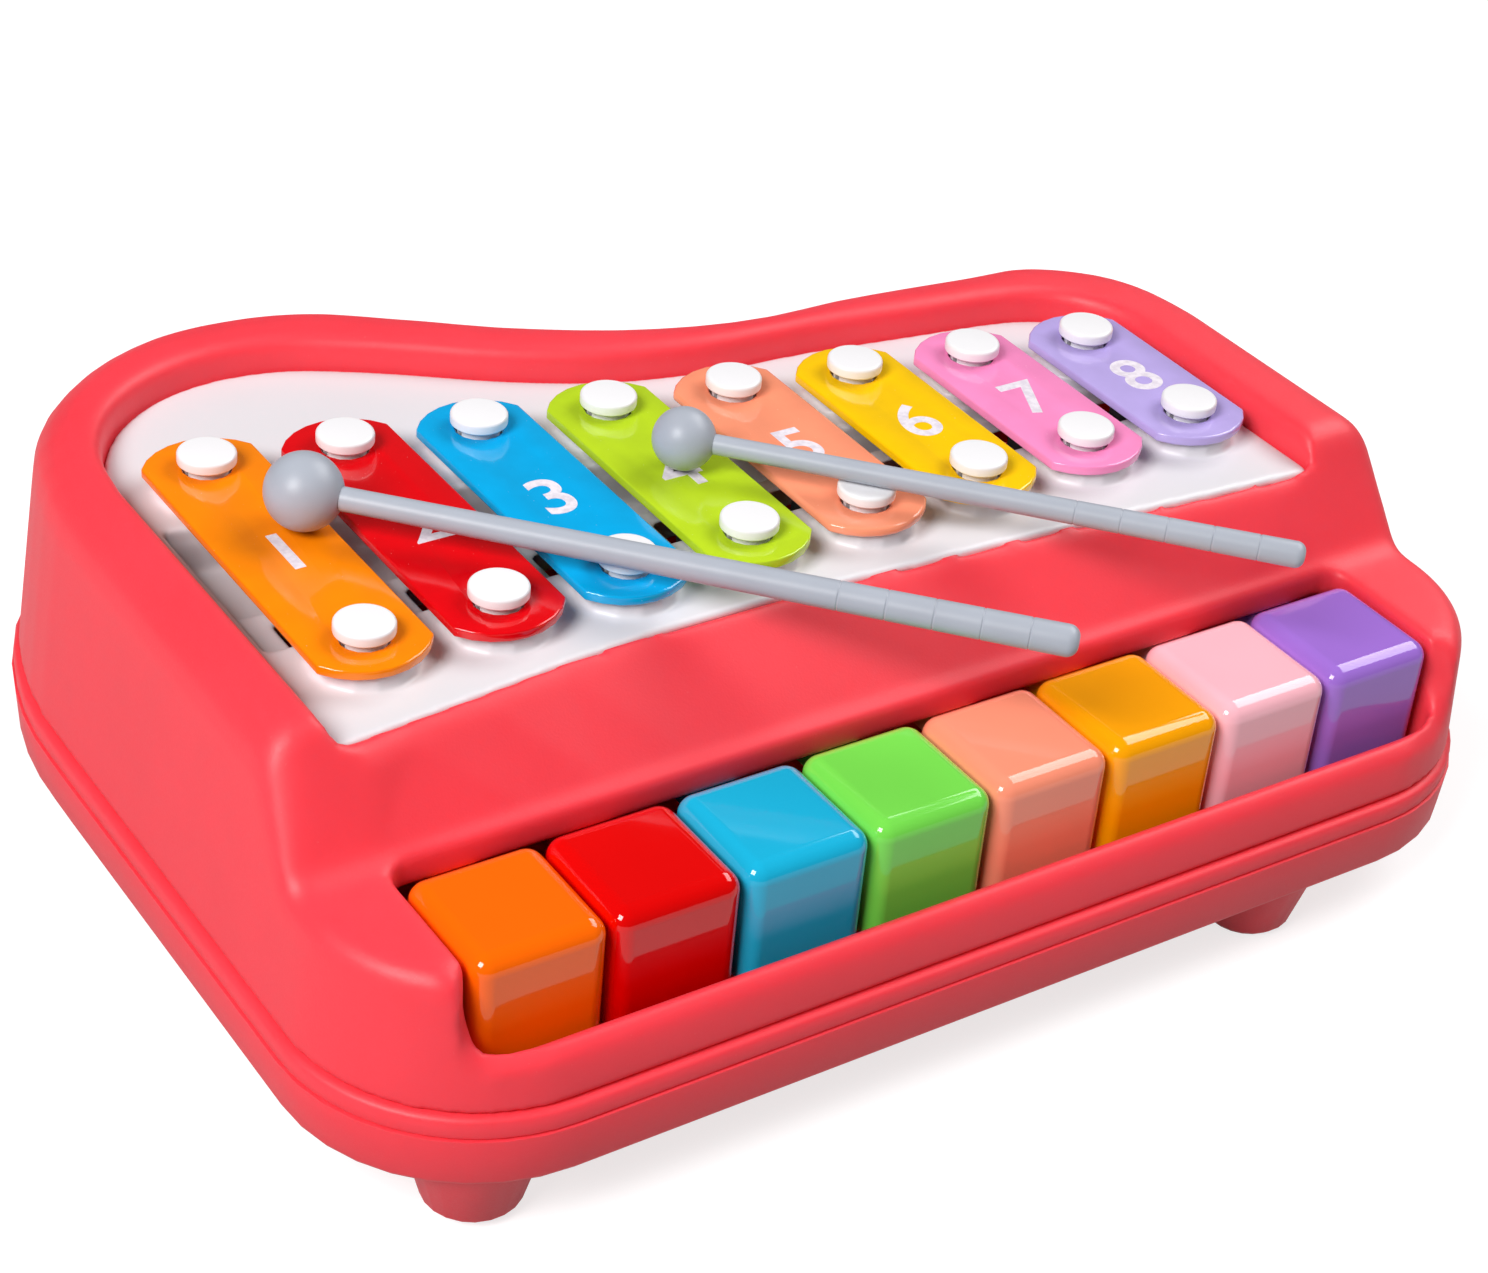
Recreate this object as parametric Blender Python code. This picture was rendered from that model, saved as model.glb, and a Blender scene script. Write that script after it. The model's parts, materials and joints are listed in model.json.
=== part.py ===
"""Xylophone piano toy: eight sprung keys swing hammers up against eight metal tone bars.

Metres, +Z up, X along the row of keys, Y from the front edge to the back edge.
The origin lies on the ground under the middle of the housing.
"""
from math import asin, atan2, cos, pi, radians, sin, tan

import bmesh
import bpy
from mathutils import Matrix, Vector

MM = 0.001

# Keys: their row sets the width of the housing
NOTES = 8
KEY_PITCH = 27 * MM
KEY_GAP = 0.7 * MM
KEY_DEPTH = 27.0 * MM
KEY_HEIGHT = 24.3 * MM
KEY_ROUND = 3.0 * MM
KEY_WALL = 2.2 * MM
KEY_TRAVEL = radians(8)

# Housing seen from above
CHEEK_WIDTH = 22.2 * MM
RAIL_THICKNESS = 5.4 * MM
SIDE_STRAIGHT = 2.2 * MM
BACK_REACH = 65.9 * MM
DEEPEST_SHARE = -0.57
LEFT_WALL_SHARE = -0.320
RIGHT_WALL_SHARE = 0.087
BACK_EDGE_SHARES = [
    (-0.990, 0.069), (-0.925, 0.470), (-0.796, 0.775), (-0.641, 0.962), (-0.500, 1.013), (-0.363, 0.979),
    (-0.227, 0.854), (-0.093, 0.719), (0.068, 0.615), (0.238, 0.582), (0.428, 0.630), (0.629, 0.654),
    (0.785, 0.660), (0.904, 0.542), (0.974, 0.353)]

# Heights: the feet, the base and the ledge, and steps above or below the ledge
FOOT_HEIGHT = 15.0 * MM
BASE_HEIGHT = 10.8 * MM
BEAD_HEIGHT = 4.3 * MM
LEDGE_RISE = 41.7 * MM
RAIL_DROP = 14.0 * MM
SLOPE_HEIGHT = 23.0 * MM
LIP_DROP = 6.0 * MM
TRAY_DROP = 0.7 * MM

# Housing walls and edges
SKIN = 2.4 * MM
DRAFT = radians(6.5)
RIGHT_DRAFT = radians(3)
BEAD_ROUND = 0.9 * MM
BEAD_PROUD = 1.4 * MM
RAIL_ROUND = 7.5 * MM
LEDGE_ROUND = 4.5 * MM
CREST_ROUND = 10.3 * MM
RIGHT_CREST_ROUND = 8.0 * MM
CHEEK_ROUND = 3.0 * MM
RAIL_FILLET = 5.5 * MM
CHEEK_LEAN = 0.4 * MM
SLOPE_RUN = 14.5 * MM
SLOPE_FILLET = 6.0 * MM
BASE_TAPER = 0.6 * MM
BASE_EDGE = 1.2 * MM

# Key well in the housing
KEY_FRONT_GAP = 6.2 * MM
KEY_BACK_GAP = 3.8 * MM
WELL_MARGIN = 0.8 * MM
WELL_CORNER = 4.0 * MM
WELL_WALL = 2.0 * MM
WELL_WALL_DEPTH = 25.3 * MM
ARM_WINDOW_GAP = 1.2 * MM
ARM_WINDOW_SETBACK = 4.0 * MM
SLOPE_SETBACK = 1.1 * MM

# Tray opening in the housing
LIP_SETBACK = 12.5 * MM
OPENING_CORNER = 1.6 * MM
OPENING_MARGIN = 1.6 * MM
LEFT_MARGIN = 4.2 * MM
LEAST_CORNER = 0.3 * MM
OPENING_REACH = 44.0 * MM
OPENING_LEFT_SHARE = -0.102
OPENING_RIGHT_SHARE = -0.161
OPENING_EDGE_SHARES = [
    (-1.000, 0.273), (-0.925, 0.599), (-0.815, 0.836), (-0.691, 0.958), (-0.568, 0.974), (-0.470, 0.911),
    (-0.354, 0.789), (-0.196, 0.596), (-0.026, 0.459), (0.170, 0.421), (0.392, 0.468), (0.613, 0.481),
    (0.834, 0.486), (0.945, 0.372), (0.994, 0.144)]
OPENING_FLARE = 3.0 * MM
COLLAR_WALL = 2.2 * MM
SEAT_WIDTH = 2.4 * MM
SEAT_THICKNESS = 2.2 * MM
LIP_NOTCH_INSET = 0.5 * MM
LIP_NOTCH_FILLET = 3.5 * MM

# Slope and lip between the cheeks, which bow back: place as a share of the half width, shares of the two bows
SLOPE_BOW = 9.0 * MM
FOOT_BOW = 1.0 * MM
LIP_BOW = 8.5 * MM
LIP_ROUND = 8.0 * MM
SCOOP_STEP = 0.55 * MM
SCOOP_END_SHARE = -0.06
LEFT_LIP_SHARE = 0.22
BOW_SHARES = [
    (-0.885, 0.25, 0.40), (-0.730, 0.50, 0.60), (-0.575, 0.78, 0.83), (-0.410, 0.96, 0.98),
    (-0.170, 1.00, 1.00), (0.110, 0.80, 0.79), (0.430, 0.52, 0.54), (0.760, 0.17, 0.20)]

# Sound tray
TRAY_PLATE = 2.2 * MM
TROUGH_WALL = 1.0 * MM
SHELF_DEPTH = 3.5 * MM
TROUGH_DEPTH = 10.2 * MM
TROUGH_END_GAP = 0.45 * MM
TROUGH_FRONT_GAP = 0.9 * MM
SHELF_WIDTH = 16.4 * MM
DEEP_END_WIDTH = 1.6 * MM
PEDESTAL_RADIUS = 9.8 * MM
SLOT_WIDTH = 13.5 * MM

# Tone bars and their studs
FRONT_ROW_INSET = 22.9 * MM
LONG_BAR_SPAN = 64.5 * MM
SHORT_BAR_SPAN = 34.2 * MM
BAR_WIDTH = 23.0 * MM
BAR_THICKNESS = 2.0 * MM
BAR_END_RADIUS = 13.6 * MM
BAR_OVERHANG = 10.8 * MM
BAR_RISE = 3.5 * MM
STUD_HEAD = 11.4 * MM
STUD_HEAD_THICKNESS = 2.0 * MM
STUD_HEAD_EDGE = 0.6 * MM
STUD_NECK = 8.4 * MM
STUD_LIFT = 1.5 * MM
STUD_HOLE_PLAY = 0.6 * MM

# Shaft, key arms and hammers
SHAFT_BEHIND_WELL = 13.0 * MM
SHAFT_DROP = 5.4 * MM
SHAFT_DIAMETER = 4.0 * MM
SHAFT_PAST_WELL = 8.0 * MM
KEY_BOSS_RADIUS = 4.6 * MM
ARM_WIDTH = 9.5 * MM
ARM_HEIGHT = 4.4 * MM
ARM_DROP = 1.4 * MM
ARM_TAIL = 3.0 * MM
HAMMER_REACH = 18.6 * MM
HAMMER_DIAMETER = 6.0 * MM
HAMMER_LENGTH = 6.0 * MM
HAMMER_GAP = 6.8 * MM
HAMMER_POST = 3.6 * MM
HAMMER_POST_DEPTH = 3.0 * MM
HAMMER_ROUND = 0.8 * MM

# Feet, posts and ribs of the base
FOOT_TOP_DIAMETER = 25.6 * MM
FOOT_DIAMETER = 20.0 * MM
FOOT_ROUND = 4.5 * MM
FOOT_EDGE_GAP = 0.2 * MM
LEFT_FOOT_TURN = radians(27)
RIGHT_FOOT_INSET = 58.5 * MM
REAR_FOOT_INSET = 28.4 * MM
REAR_LEFT_FOOT_SHARE = 0.401
REAR_RIGHT_FOOT_SHARE = 0.263
POST_WIDTH = 4.0 * MM
POST_DEPTH = 10.0 * MM
POST_ABOVE_SHAFT = 3.0 * MM
RIB_THICKNESS = 2.0 * MM
STOP_RIB_INSET = 8.0 * MM
REST_RIB_REACH = 28.6 * MM

# Case screws and their posts
SCREW_POST_RADIUS = 4.2 * MM
SCREW_BORE = 2.6 * MM
SCREW_SHANK = 2.8 * MM
SCREW_HEAD = 5.6 * MM
SCREW_HEAD_THICKNESS = 2.0 * MM
SCREW_LENGTH = 14.0 * MM
SCREW_RECESS = 3.4 * MM
SCREW_SIDE_INSET = 13.0 * MM
SCREW_FRONT_SETBACK = 36.0 * MM
SCREW_REAR_SETBACK = 104.0 * MM

# Mallets: ball centre and grip end, as a share of the key pitch along X and a distance behind the front studs
LEFT_BALL = 15.2 * MM
LEFT_BALL_SHARE = -3.256
LEFT_GRIP_SHARE = 0.637
LEFT_BALL_BEHIND = 36.9 * MM
LEFT_GRIP_BEHIND = -63.8 * MM
LEFT_GRIP_DROP = 4.2 * MM
LEFT_HANDLE_TIP = 4.6 * MM
LEFT_HANDLE_GRIP = 6.1 * MM
RIGHT_BALL = 12.7 * MM
RIGHT_BALL_SHARE = -0.467
RIGHT_GRIP_SHARE = 2.737
RIGHT_BALL_BEHIND = 25.2 * MM
RIGHT_GRIP_BEHIND = -60.4 * MM
RIGHT_GRIP_DROP = 2.1 * MM
RIGHT_HANDLE_TIP = 4.0 * MM
RIGHT_HANDLE_GRIP = 5.2 * MM
BALL_SOCKET_SHARE = 0.5

# Fits
SEAT_GAP = 0.3 * MM
RUNNING_GAP = 0.3 * MM
OVERRUN = 2.0 * MM
WELD = 0.02 * MM

# Number of straight steps that a round stretch is drawn with
STEPS_PER_SPAN = 3
CORNER_STEPS = 9
EDGE_STEPS = 4
FILLET_STEPS = 3
BAR_END_STEPS = 8
ROUND_STEPS = 3
FOOT_STEPS = 22
BALL_STEPS = 16
HOLE_STEPS = 14
SMALL_STEPS = 10
BALL_RINGS = 9
HANDLE_STEPS = 12

# Places along X worked out from the sizes above
ROW_WIDTH = NOTES * KEY_PITCH
WELL_HALF = ROW_WIDTH / 2 + WELL_MARGIN
HALF_WIDTH = WELL_HALF + CHEEK_WIDTH
OPENING_HALF = ROW_WIDTH / 2 + OPENING_MARGIN
OPENING_LEFT = -ROW_WIDTH / 2 - LEFT_MARGIN
KEY_WIDTH = KEY_PITCH - KEY_GAP
FIRST_NOTE_X = (KEY_PITCH - ROW_WIDTH) / 2
SHAFT_HALF = WELL_HALF + SHAFT_PAST_WELL

# Distances from the front edge
KEY_SETBACK = RAIL_THICKNESS + KEY_FRONT_GAP
WELL_BACK_SETBACK = KEY_SETBACK + KEY_DEPTH + KEY_BACK_GAP
SHAFT_SETBACK = WELL_BACK_SETBACK + SHAFT_BEHIND_WELL
FRONT_ROW = WELL_BACK_SETBACK + LIP_SETBACK + FRONT_ROW_INSET
ROW_SLANT = (SHORT_BAR_SPAN - LONG_BAR_SPAN) / (ROW_WIDTH - KEY_PITCH)
BODY_DEPTH = (FRONT_ROW + LONG_BAR_SPAN + ROW_SLANT * (DEEPEST_SHARE * HALF_WIDTH - FIRST_NOTE_X)
              + BACK_REACH)

# Front corners, whose rounds end a short straight stretch before the slope behind the keys
SLOPE_ANGLE = atan2(SLOPE_HEIGHT, SLOPE_RUN)
SLOPE_TANGENT = SLOPE_FILLET * tan(SLOPE_ANGLE / 2)
FRONT_CORNER = WELL_BACK_SETBACK + SLOPE_SETBACK - SLOPE_TANGENT - SIDE_STRAIGHT
CORNER_X = HALF_WIDTH - FRONT_CORNER

# Trough between the rows of pedestals; its deep part ends where it has narrowed to the end width
TROUGH_HALF = OPENING_HALF - TROUGH_END_GAP - TROUGH_WALL
TROUGH_CLEAR = PEDESTAL_RADIUS + TROUGH_FRONT_GAP
DEEP_END_X = FIRST_NOTE_X + (DEEP_END_WIDTH + 2 * TROUGH_CLEAR + TROUGH_WALL + SHELF_WIDTH
                             - LONG_BAR_SPAN) / ROW_SLANT

# Places along Y
FRONT = -BODY_DEPTH / 2
CORNER_Y = FRONT + FRONT_CORNER
WELL_BACK = FRONT + WELL_BACK_SETBACK
SLOPE_FOOT = WELL_BACK + SLOPE_SETBACK
OPENING_FRONT = WELL_BACK + LIP_SETBACK
SHAFT_Y = FRONT + SHAFT_SETBACK
HAMMER_Y = FRONT + FRONT_ROW + HAMMER_REACH

# Heights
BASE_BOTTOM = FOOT_HEIGHT
PARTING = BASE_BOTTOM + BASE_HEIGHT
WALL_FOOT = PARTING + BEAD_HEIGHT
FLOOR_TOP = BASE_BOTTOM + SKIN
LEDGE_TOP = BASE_BOTTOM + LEDGE_RISE
RAIL_TOP = LEDGE_TOP - RAIL_DROP
CREST_TOP = LEDGE_TOP + SLOPE_HEIGHT
LIP_TOP = CREST_TOP - LIP_DROP
TRAY_TOP = LIP_TOP - TRAY_DROP
TRAY_BOTTOM = TRAY_TOP - TRAY_PLATE
BAR_BOTTOM = TRAY_TOP + BAR_RISE
BAR_TOP = BAR_BOTTOM + BAR_THICKNESS
STUD_UNDERSIDE = BAR_TOP + STUD_LIFT
STUD_TOP = STUD_UNDERSIDE + STUD_HEAD_THICKNESS
SHAFT_HEIGHT = LEDGE_TOP - SHAFT_DROP
ARM_TOP = SHAFT_HEIGHT - ARM_DROP
HAMMER_TOP = BAR_BOTTOM - HAMMER_GAP

SRGB_SHARES = {
    "housing": (0.93, 0.22, 0.26),
    "tray": (0.92, 0.91, 0.92),
    "steel": (0.72, 0.73, 0.75),
    "mallet": (0.62, 0.66, 0.71),
    "rubber": (0.16, 0.16, 0.17)}
KEY_COLOUR_SHARES = {
    "orange": (1.0, 0.45, 0.0),
    "red": (0.90, 0.0, 0.0),
    "blue": (0.08, 0.66, 0.84),
    "green": (0.39, 0.80, 0.20),
    "peach": (0.98, 0.55, 0.43),
    "amber": (1.0, 0.67, 0.0),
    "pink": (0.98, 0.70, 0.77),
    "purple": (0.62, 0.34, 0.80)}
BAR_COLOUR_SHARES = {
    "orange": (1.0, 0.57, 0.0),
    "red": (0.86, 0.0, 0.08),
    "blue": (0.08, 0.68, 0.90),
    "lime": (0.78, 0.86, 0.20),
    "peach": (1.0, 0.63, 0.49),
    "yellow": (1.0, 0.80, 0.0),
    "pink": (1.0, 0.57, 0.78),
    "lavender": (0.73, 0.65, 0.88)}


# Materials

def linear(value):
    return value / 12.92 if value <= 0.04045 else ((value + 0.055) / 1.055) ** 2.4


def material(name, colour_shares, roughness, metallic=0.0):
    made = bpy.data.materials.new(name)
    made.use_nodes = True
    shader = made.node_tree.nodes["Principled BSDF"]
    colour = tuple(linear(share) for share in colour_shares) + (1.0,)
    made.diffuse_color = colour
    shader.inputs["Base Color"].default_value = colour
    shader.inputs["Roughness"].default_value = roughness
    shader.inputs["Metallic"].default_value = metallic
    return made


# Plan curves: a list of (x, y, outward x, outward y)

def arc(centre_x, centre_y, radius, start, end, steps):
    """Points on an arc with their outward directions; start and end are angles from +X."""
    points = []
    for step in range(steps + 1):
        angle = start + (end - start) * step / steps
        out_x, out_y = cos(angle), sin(angle)
        points.append((centre_x + radius * out_x, centre_y + radius * out_y, out_x, out_y))
    return points


def note_x(note):
    return FIRST_NOTE_X + note * KEY_PITCH


def rear_row(x):
    """Y of the slanting row of rear studs, at a place along X."""
    return FRONT + FRONT_ROW + LONG_BAR_SPAN + ROW_SLANT * (x - FIRST_NOTE_X)


def smooth_back(half, reach, shares_list):
    """Smooth curve behind the rear studs, from left to right, both ends running along Y.

    Each place is a share of the half width, and a share of the reach behind the row of rear studs.
    """
    knots = []
    for across, behind in shares_list:
        x = across * half
        knots.append(Vector((x, rear_row(x) + behind * reach)))
    left, right = knots[0], knots[-1]
    first = left - Vector((0, (knots[1] - left).length))
    last = right - Vector((0, (knots[-2] - right).length))
    knots = [first] + knots + [last]
    points = []
    for index in range(1, len(knots) - 2):
        a, b, c, d = knots[index - 1:index + 3]
        steps = STEPS_PER_SPAN + (1 if index == len(knots) - 3 else 0)
        for step in range(steps):
            t = step / STEPS_PER_SPAN
            place = ((2 * b) + (c - a) * t + (2 * a - 5 * b + 4 * c - d) * t ** 2
                     + (3 * b - a - 3 * c + d) * t ** 3) / 2
            slope = ((c - a) + 2 * (2 * a - 5 * b + 4 * c - d) * t + 3 * (3 * b - a - 3 * c + d) * t ** 2) / 2
            points.append((place.x, place.y, -slope.y / slope.length, slope.x / slope.length))
    return points


def mirrored(points):
    return [(-x, y, -out_x, out_y) for x, y, out_x, out_y in reversed(points)]


def shifted(points, distance):
    return [(x + out_x * distance, y + out_y * distance) for x, y, out_x, out_y in points]


def opening_plan(spread):
    """Edge of the tray opening, clockwise from its front left corner, grown by a distance."""
    radius = max(OPENING_CORNER + spread, LEAST_CORNER)
    inset, front = radius - spread, OPENING_FRONT - spread
    left_front = front + LEFT_LIP_SHARE * LIP_BOW
    left = arc(OPENING_LEFT + inset, left_front + radius, radius, 1.5 * pi, pi, FILLET_STEPS)
    right = arc(OPENING_HALF - inset, front + radius, radius, 0.0, -pi / 2, FILLET_STEPS)
    left_end = (OPENING_LEFT / OPENING_HALF, OPENING_LEFT_SHARE)
    shares_list = [left_end] + OPENING_EDGE_SHARES + [(1.0, OPENING_RIGHT_SHARE)]
    back = shifted(smooth_back(OPENING_HALF, OPENING_REACH, shares_list), spread)
    lip = [(across * OPENING_HALF, front + share * LIP_BOW) for across, _, share in reversed(BOW_SHARES)]
    return [point[:2] for point in left] + back + [point[:2] for point in right] + lip


def outer_back():
    """Back edge of the housing, from the end of the left wall to the end of the right wall."""
    shares_list = [(-1.0, LEFT_WALL_SHARE)] + BACK_EDGE_SHARES + [(1.0, RIGHT_WALL_SHARE)]
    return smooth_back(HALF_WIDTH, BACK_REACH, shares_list)


def well_plan():
    """Edge of the key well, clockwise; its front corners follow the corners of the housing."""
    radius = FRONT_CORNER - RAIL_THICKNESS
    turn = asin((WELL_HALF - CORNER_X) / radius)
    left = arc(-CORNER_X, CORNER_Y, radius, 1.5 * pi, 1.5 * pi - turn, FILLET_STEPS)
    left += arc(-WELL_HALF + WELL_CORNER, WELL_BACK - WELL_CORNER, WELL_CORNER, pi, pi / 2, FILLET_STEPS)
    return [point[:2] for point in left + mirrored(left)]


def box_plan(left, right, front, back, radius=0.0):
    """Rectangle with round corners, clockwise from its front left corner."""
    if radius == 0.0:
        return [(left, front), (left, back), (right, back), (right, front)]
    corners = [(left + radius, front + radius, 1.5 * pi), (left + radius, back - radius, pi),
               (right - radius, back - radius, 0.5 * pi), (right - radius, front + radius, 0.0)]
    plan = []
    for centre_x, centre_y, start in corners:
        plan += [point[:2] for point in arc(centre_x, centre_y, radius, start, start - pi / 2, FILLET_STEPS)]
    return plan


# Solids

def weld(mesh):
    """Merge vertices that all but touch, and turn the faces outwards."""
    model = bmesh.new()
    model.from_mesh(mesh)
    bmesh.ops.remove_doubles(model, verts=model.verts, dist=WELD)
    bmesh.ops.recalc_face_normals(model, faces=model.faces)
    model.to_mesh(mesh)
    model.free()


def solid(name, vertices, faces):
    """Object from vertices and faces, with its faces turned outwards."""
    mesh = bpy.data.meshes.new(name)
    mesh.from_pydata(vertices, [], faces)
    weld(mesh)
    made = bpy.data.objects.new(name, mesh)
    bpy.context.collection.objects.link(made)
    return made


def stack(name, rings):
    """Solid through rings of equal length, closed by a flat face at each end."""
    count = len(rings[0])
    vertices = [point for ring in rings for point in ring]
    faces = [tuple(range(count)), tuple(range(len(vertices) - count, len(vertices)))]
    for level in range(len(rings) - 1):
        for index in range(count):
            after = (index + 1) % count
            low, high = level * count, (level + 1) * count
            faces.append((low + index, low + after, high + after, high + index))
    return solid(name, vertices, faces)


def prism(name, plan, bottom, top):
    return stack(name, [[(x, y, bottom) for x, y in plan], [(x, y, top) for x, y in plan]])


def side_prism(name, profile, left, right):
    """Solid of one (y, z) profile along X."""
    return stack(name, [[(left, y, z) for y, z in profile], [(right, y, z) for y, z in profile]])


def turned(name, profile, steps, centre=(0.0, 0.0)):
    """Solid turned about a vertical axis; the (radius, z) profile starts and ends on the axis."""
    rings = []
    for radius, z in profile[1:-1]:
        rings.append([(centre[0] + radius * cos(2 * pi * step / steps),
                       centre[1] + radius * sin(2 * pi * step / steps), z) for step in range(steps)])
    vertices = [point for ring in rings for point in ring]
    faces = []
    for level in range(len(rings) - 1):
        for step in range(steps):
            low, high, after = level * steps, (level + 1) * steps, (step + 1) % steps
            faces.append((low + step, low + after, high + after, high + step))
    last = len(vertices) - steps
    for start, tip, beside in ((0, profile[0], profile[1]), (last, profile[-1], profile[-2])):
        if tip[1] == beside[1]:
            faces.append(tuple(range(start, start + steps)))
            continue
        vertices.append((centre[0], centre[1], tip[1]))
        faces += [(len(vertices) - 1, start + step, start + (step + 1) % steps) for step in range(steps)]
    return solid(name, vertices, faces)


def cylinder(name, radius, bottom, top, centre, steps=HOLE_STEPS):
    return turned(name, [(0.0, bottom), (radius, bottom), (radius, top), (0.0, top)], steps, centre)


def combine(body, tool, operation):
    """Join, cut or keep the overlap of two solids, and delete the tool."""
    change = body.modifiers.new(operation, "BOOLEAN")
    change.operation = operation
    change.solver = "EXACT"
    change.object = tool
    bpy.context.view_layer.update()
    evaluated = body.evaluated_get(bpy.context.evaluated_depsgraph_get())
    mesh = bpy.data.meshes.new_from_object(evaluated)
    weld(mesh)
    old = body.data
    body.modifiers.clear()
    body.data = mesh
    mesh.name = body.name
    bpy.data.meshes.remove(old)
    spent = tool.data
    bpy.data.objects.remove(tool)
    bpy.data.meshes.remove(spent)


def join(body, tool):
    combine(body, tool, "UNION")


def cut(body, tool):
    combine(body, tool, "DIFFERENCE")


def finish(made, look, origin=(0.0, 0.0, 0.0), smooth_below=radians(35)):
    """Give an object its material, move its origin to a place and shade its round faces smooth."""
    made.data.transform(Matrix.Translation(-Vector(origin)))
    made.location = origin
    made.data.materials.clear()
    made.data.materials.append(look)
    made.data.shade_smooth()
    made.data.set_sharp_from_angle(angle=smooth_below)
    return made


def ride(made, carrier):
    """Parent an object to its carrier without moving it."""
    made.parent = carrier
    made.location = made.location - carrier.location


# Top housing

def wall_draft(out_x):
    """Lean of the wall: the right wall stands steeper than the others."""
    return DRAFT + (RIGHT_DRAFT - DRAFT) * max(out_x, 0.0)


def edge_round(height, out_x):
    """Radius of the outer top edge, which changes between the rail, the ledge and the crest."""
    if height <= LEDGE_TOP:
        share = (height - RAIL_TOP) / (LEDGE_TOP - RAIL_TOP)
        return RAIL_ROUND + (LEDGE_ROUND - RAIL_ROUND) * share
    share = (height - LEDGE_TOP) / (CREST_TOP - LEDGE_TOP)
    crest = CREST_ROUND + (RIGHT_CREST_ROUND - CREST_ROUND) * max(out_x, 0.0)
    return LEDGE_ROUND + (crest - LEDGE_ROUND) * share


def round_centre(height, out_x, skin):
    """Inset of the centre of the top edge's round, for a skin inside the outer shape."""
    draft = wall_draft(out_x)
    radius = edge_round(height, out_x) - skin
    start = height - skin - radius + radius * sin(draft)
    return BEAD_PROUD + (start - WALL_FOOT) * tan(draft) + skin + radius * cos(draft)


def cheek_heights(skin):
    """(x, top height) down the left cheek, from the low front rail up to the ledge."""
    edge = -WELL_HALF - skin
    heights = []
    for step in range(FILLET_STEPS + 1):
        angle = pi / 2 * step / FILLET_STEPS
        heights.append((edge + RAIL_FILLET * (1 - sin(angle)), RAIL_TOP + RAIL_FILLET * (1 - cos(angle))))
    for step in range(FILLET_STEPS):
        angle = pi / 2 * step / (FILLET_STEPS - 1)
        heights.append((edge - CHEEK_LEAN - CHEEK_ROUND * (1 - cos(angle)),
                        LEDGE_TOP - CHEEK_ROUND * (1 - sin(angle))))
    return heights


def slope_heights(skin):
    """(y, top height) up the slope behind the keys, from the ledge to the crest."""
    shift = skin * tan(SLOPE_ANGLE / 2)
    head = SLOPE_FOOT + SLOPE_RUN
    heights = []
    for step in range(FILLET_STEPS + 1):
        angle = SLOPE_ANGLE * step / FILLET_STEPS
        heights.append((SLOPE_FOOT - SLOPE_TANGENT + SLOPE_FILLET * sin(angle) + shift,
                        LEDGE_TOP + SLOPE_FILLET * (1 - cos(angle))))
    for step in range(FILLET_STEPS + 1):
        angle = SLOPE_ANGLE * (1 - step / FILLET_STEPS)
        heights.append((head + SLOPE_TANGENT - SLOPE_FILLET * sin(angle) + shift,
                        CREST_TOP - SLOPE_FILLET * (1 - cos(angle))))
    return heights


def left_stations(skin):
    """Stations of the left half of the edge, front to back: x, y, outward x, outward y, top height."""
    turns = []
    for x, height in cheek_heights(skin):
        reach = FRONT_CORNER - round_centre(height, 0.0, 0.0)
        turns.append((asin((-CORNER_X - x) / reach), height))
    first = turns[0][0]
    turns = [(first * step / FILLET_STEPS, RAIL_TOP) for step in range(FILLET_STEPS)] + turns
    last = turns[-1][0]
    for step in range(1, CORNER_STEPS + 1):
        turns.append((last + (pi / 2 - last) * step / CORNER_STEPS, LEDGE_TOP))
    stations = []
    for turn, height in turns:
        stations.append((-CORNER_X - FRONT_CORNER * sin(turn), CORNER_Y - FRONT_CORNER * cos(turn),
                         -sin(turn), -cos(turn), height))
    for y, height in slope_heights(skin):
        stations.append((-HALF_WIDTH, y, -1.0, 0.0, height))
    return stations


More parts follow.
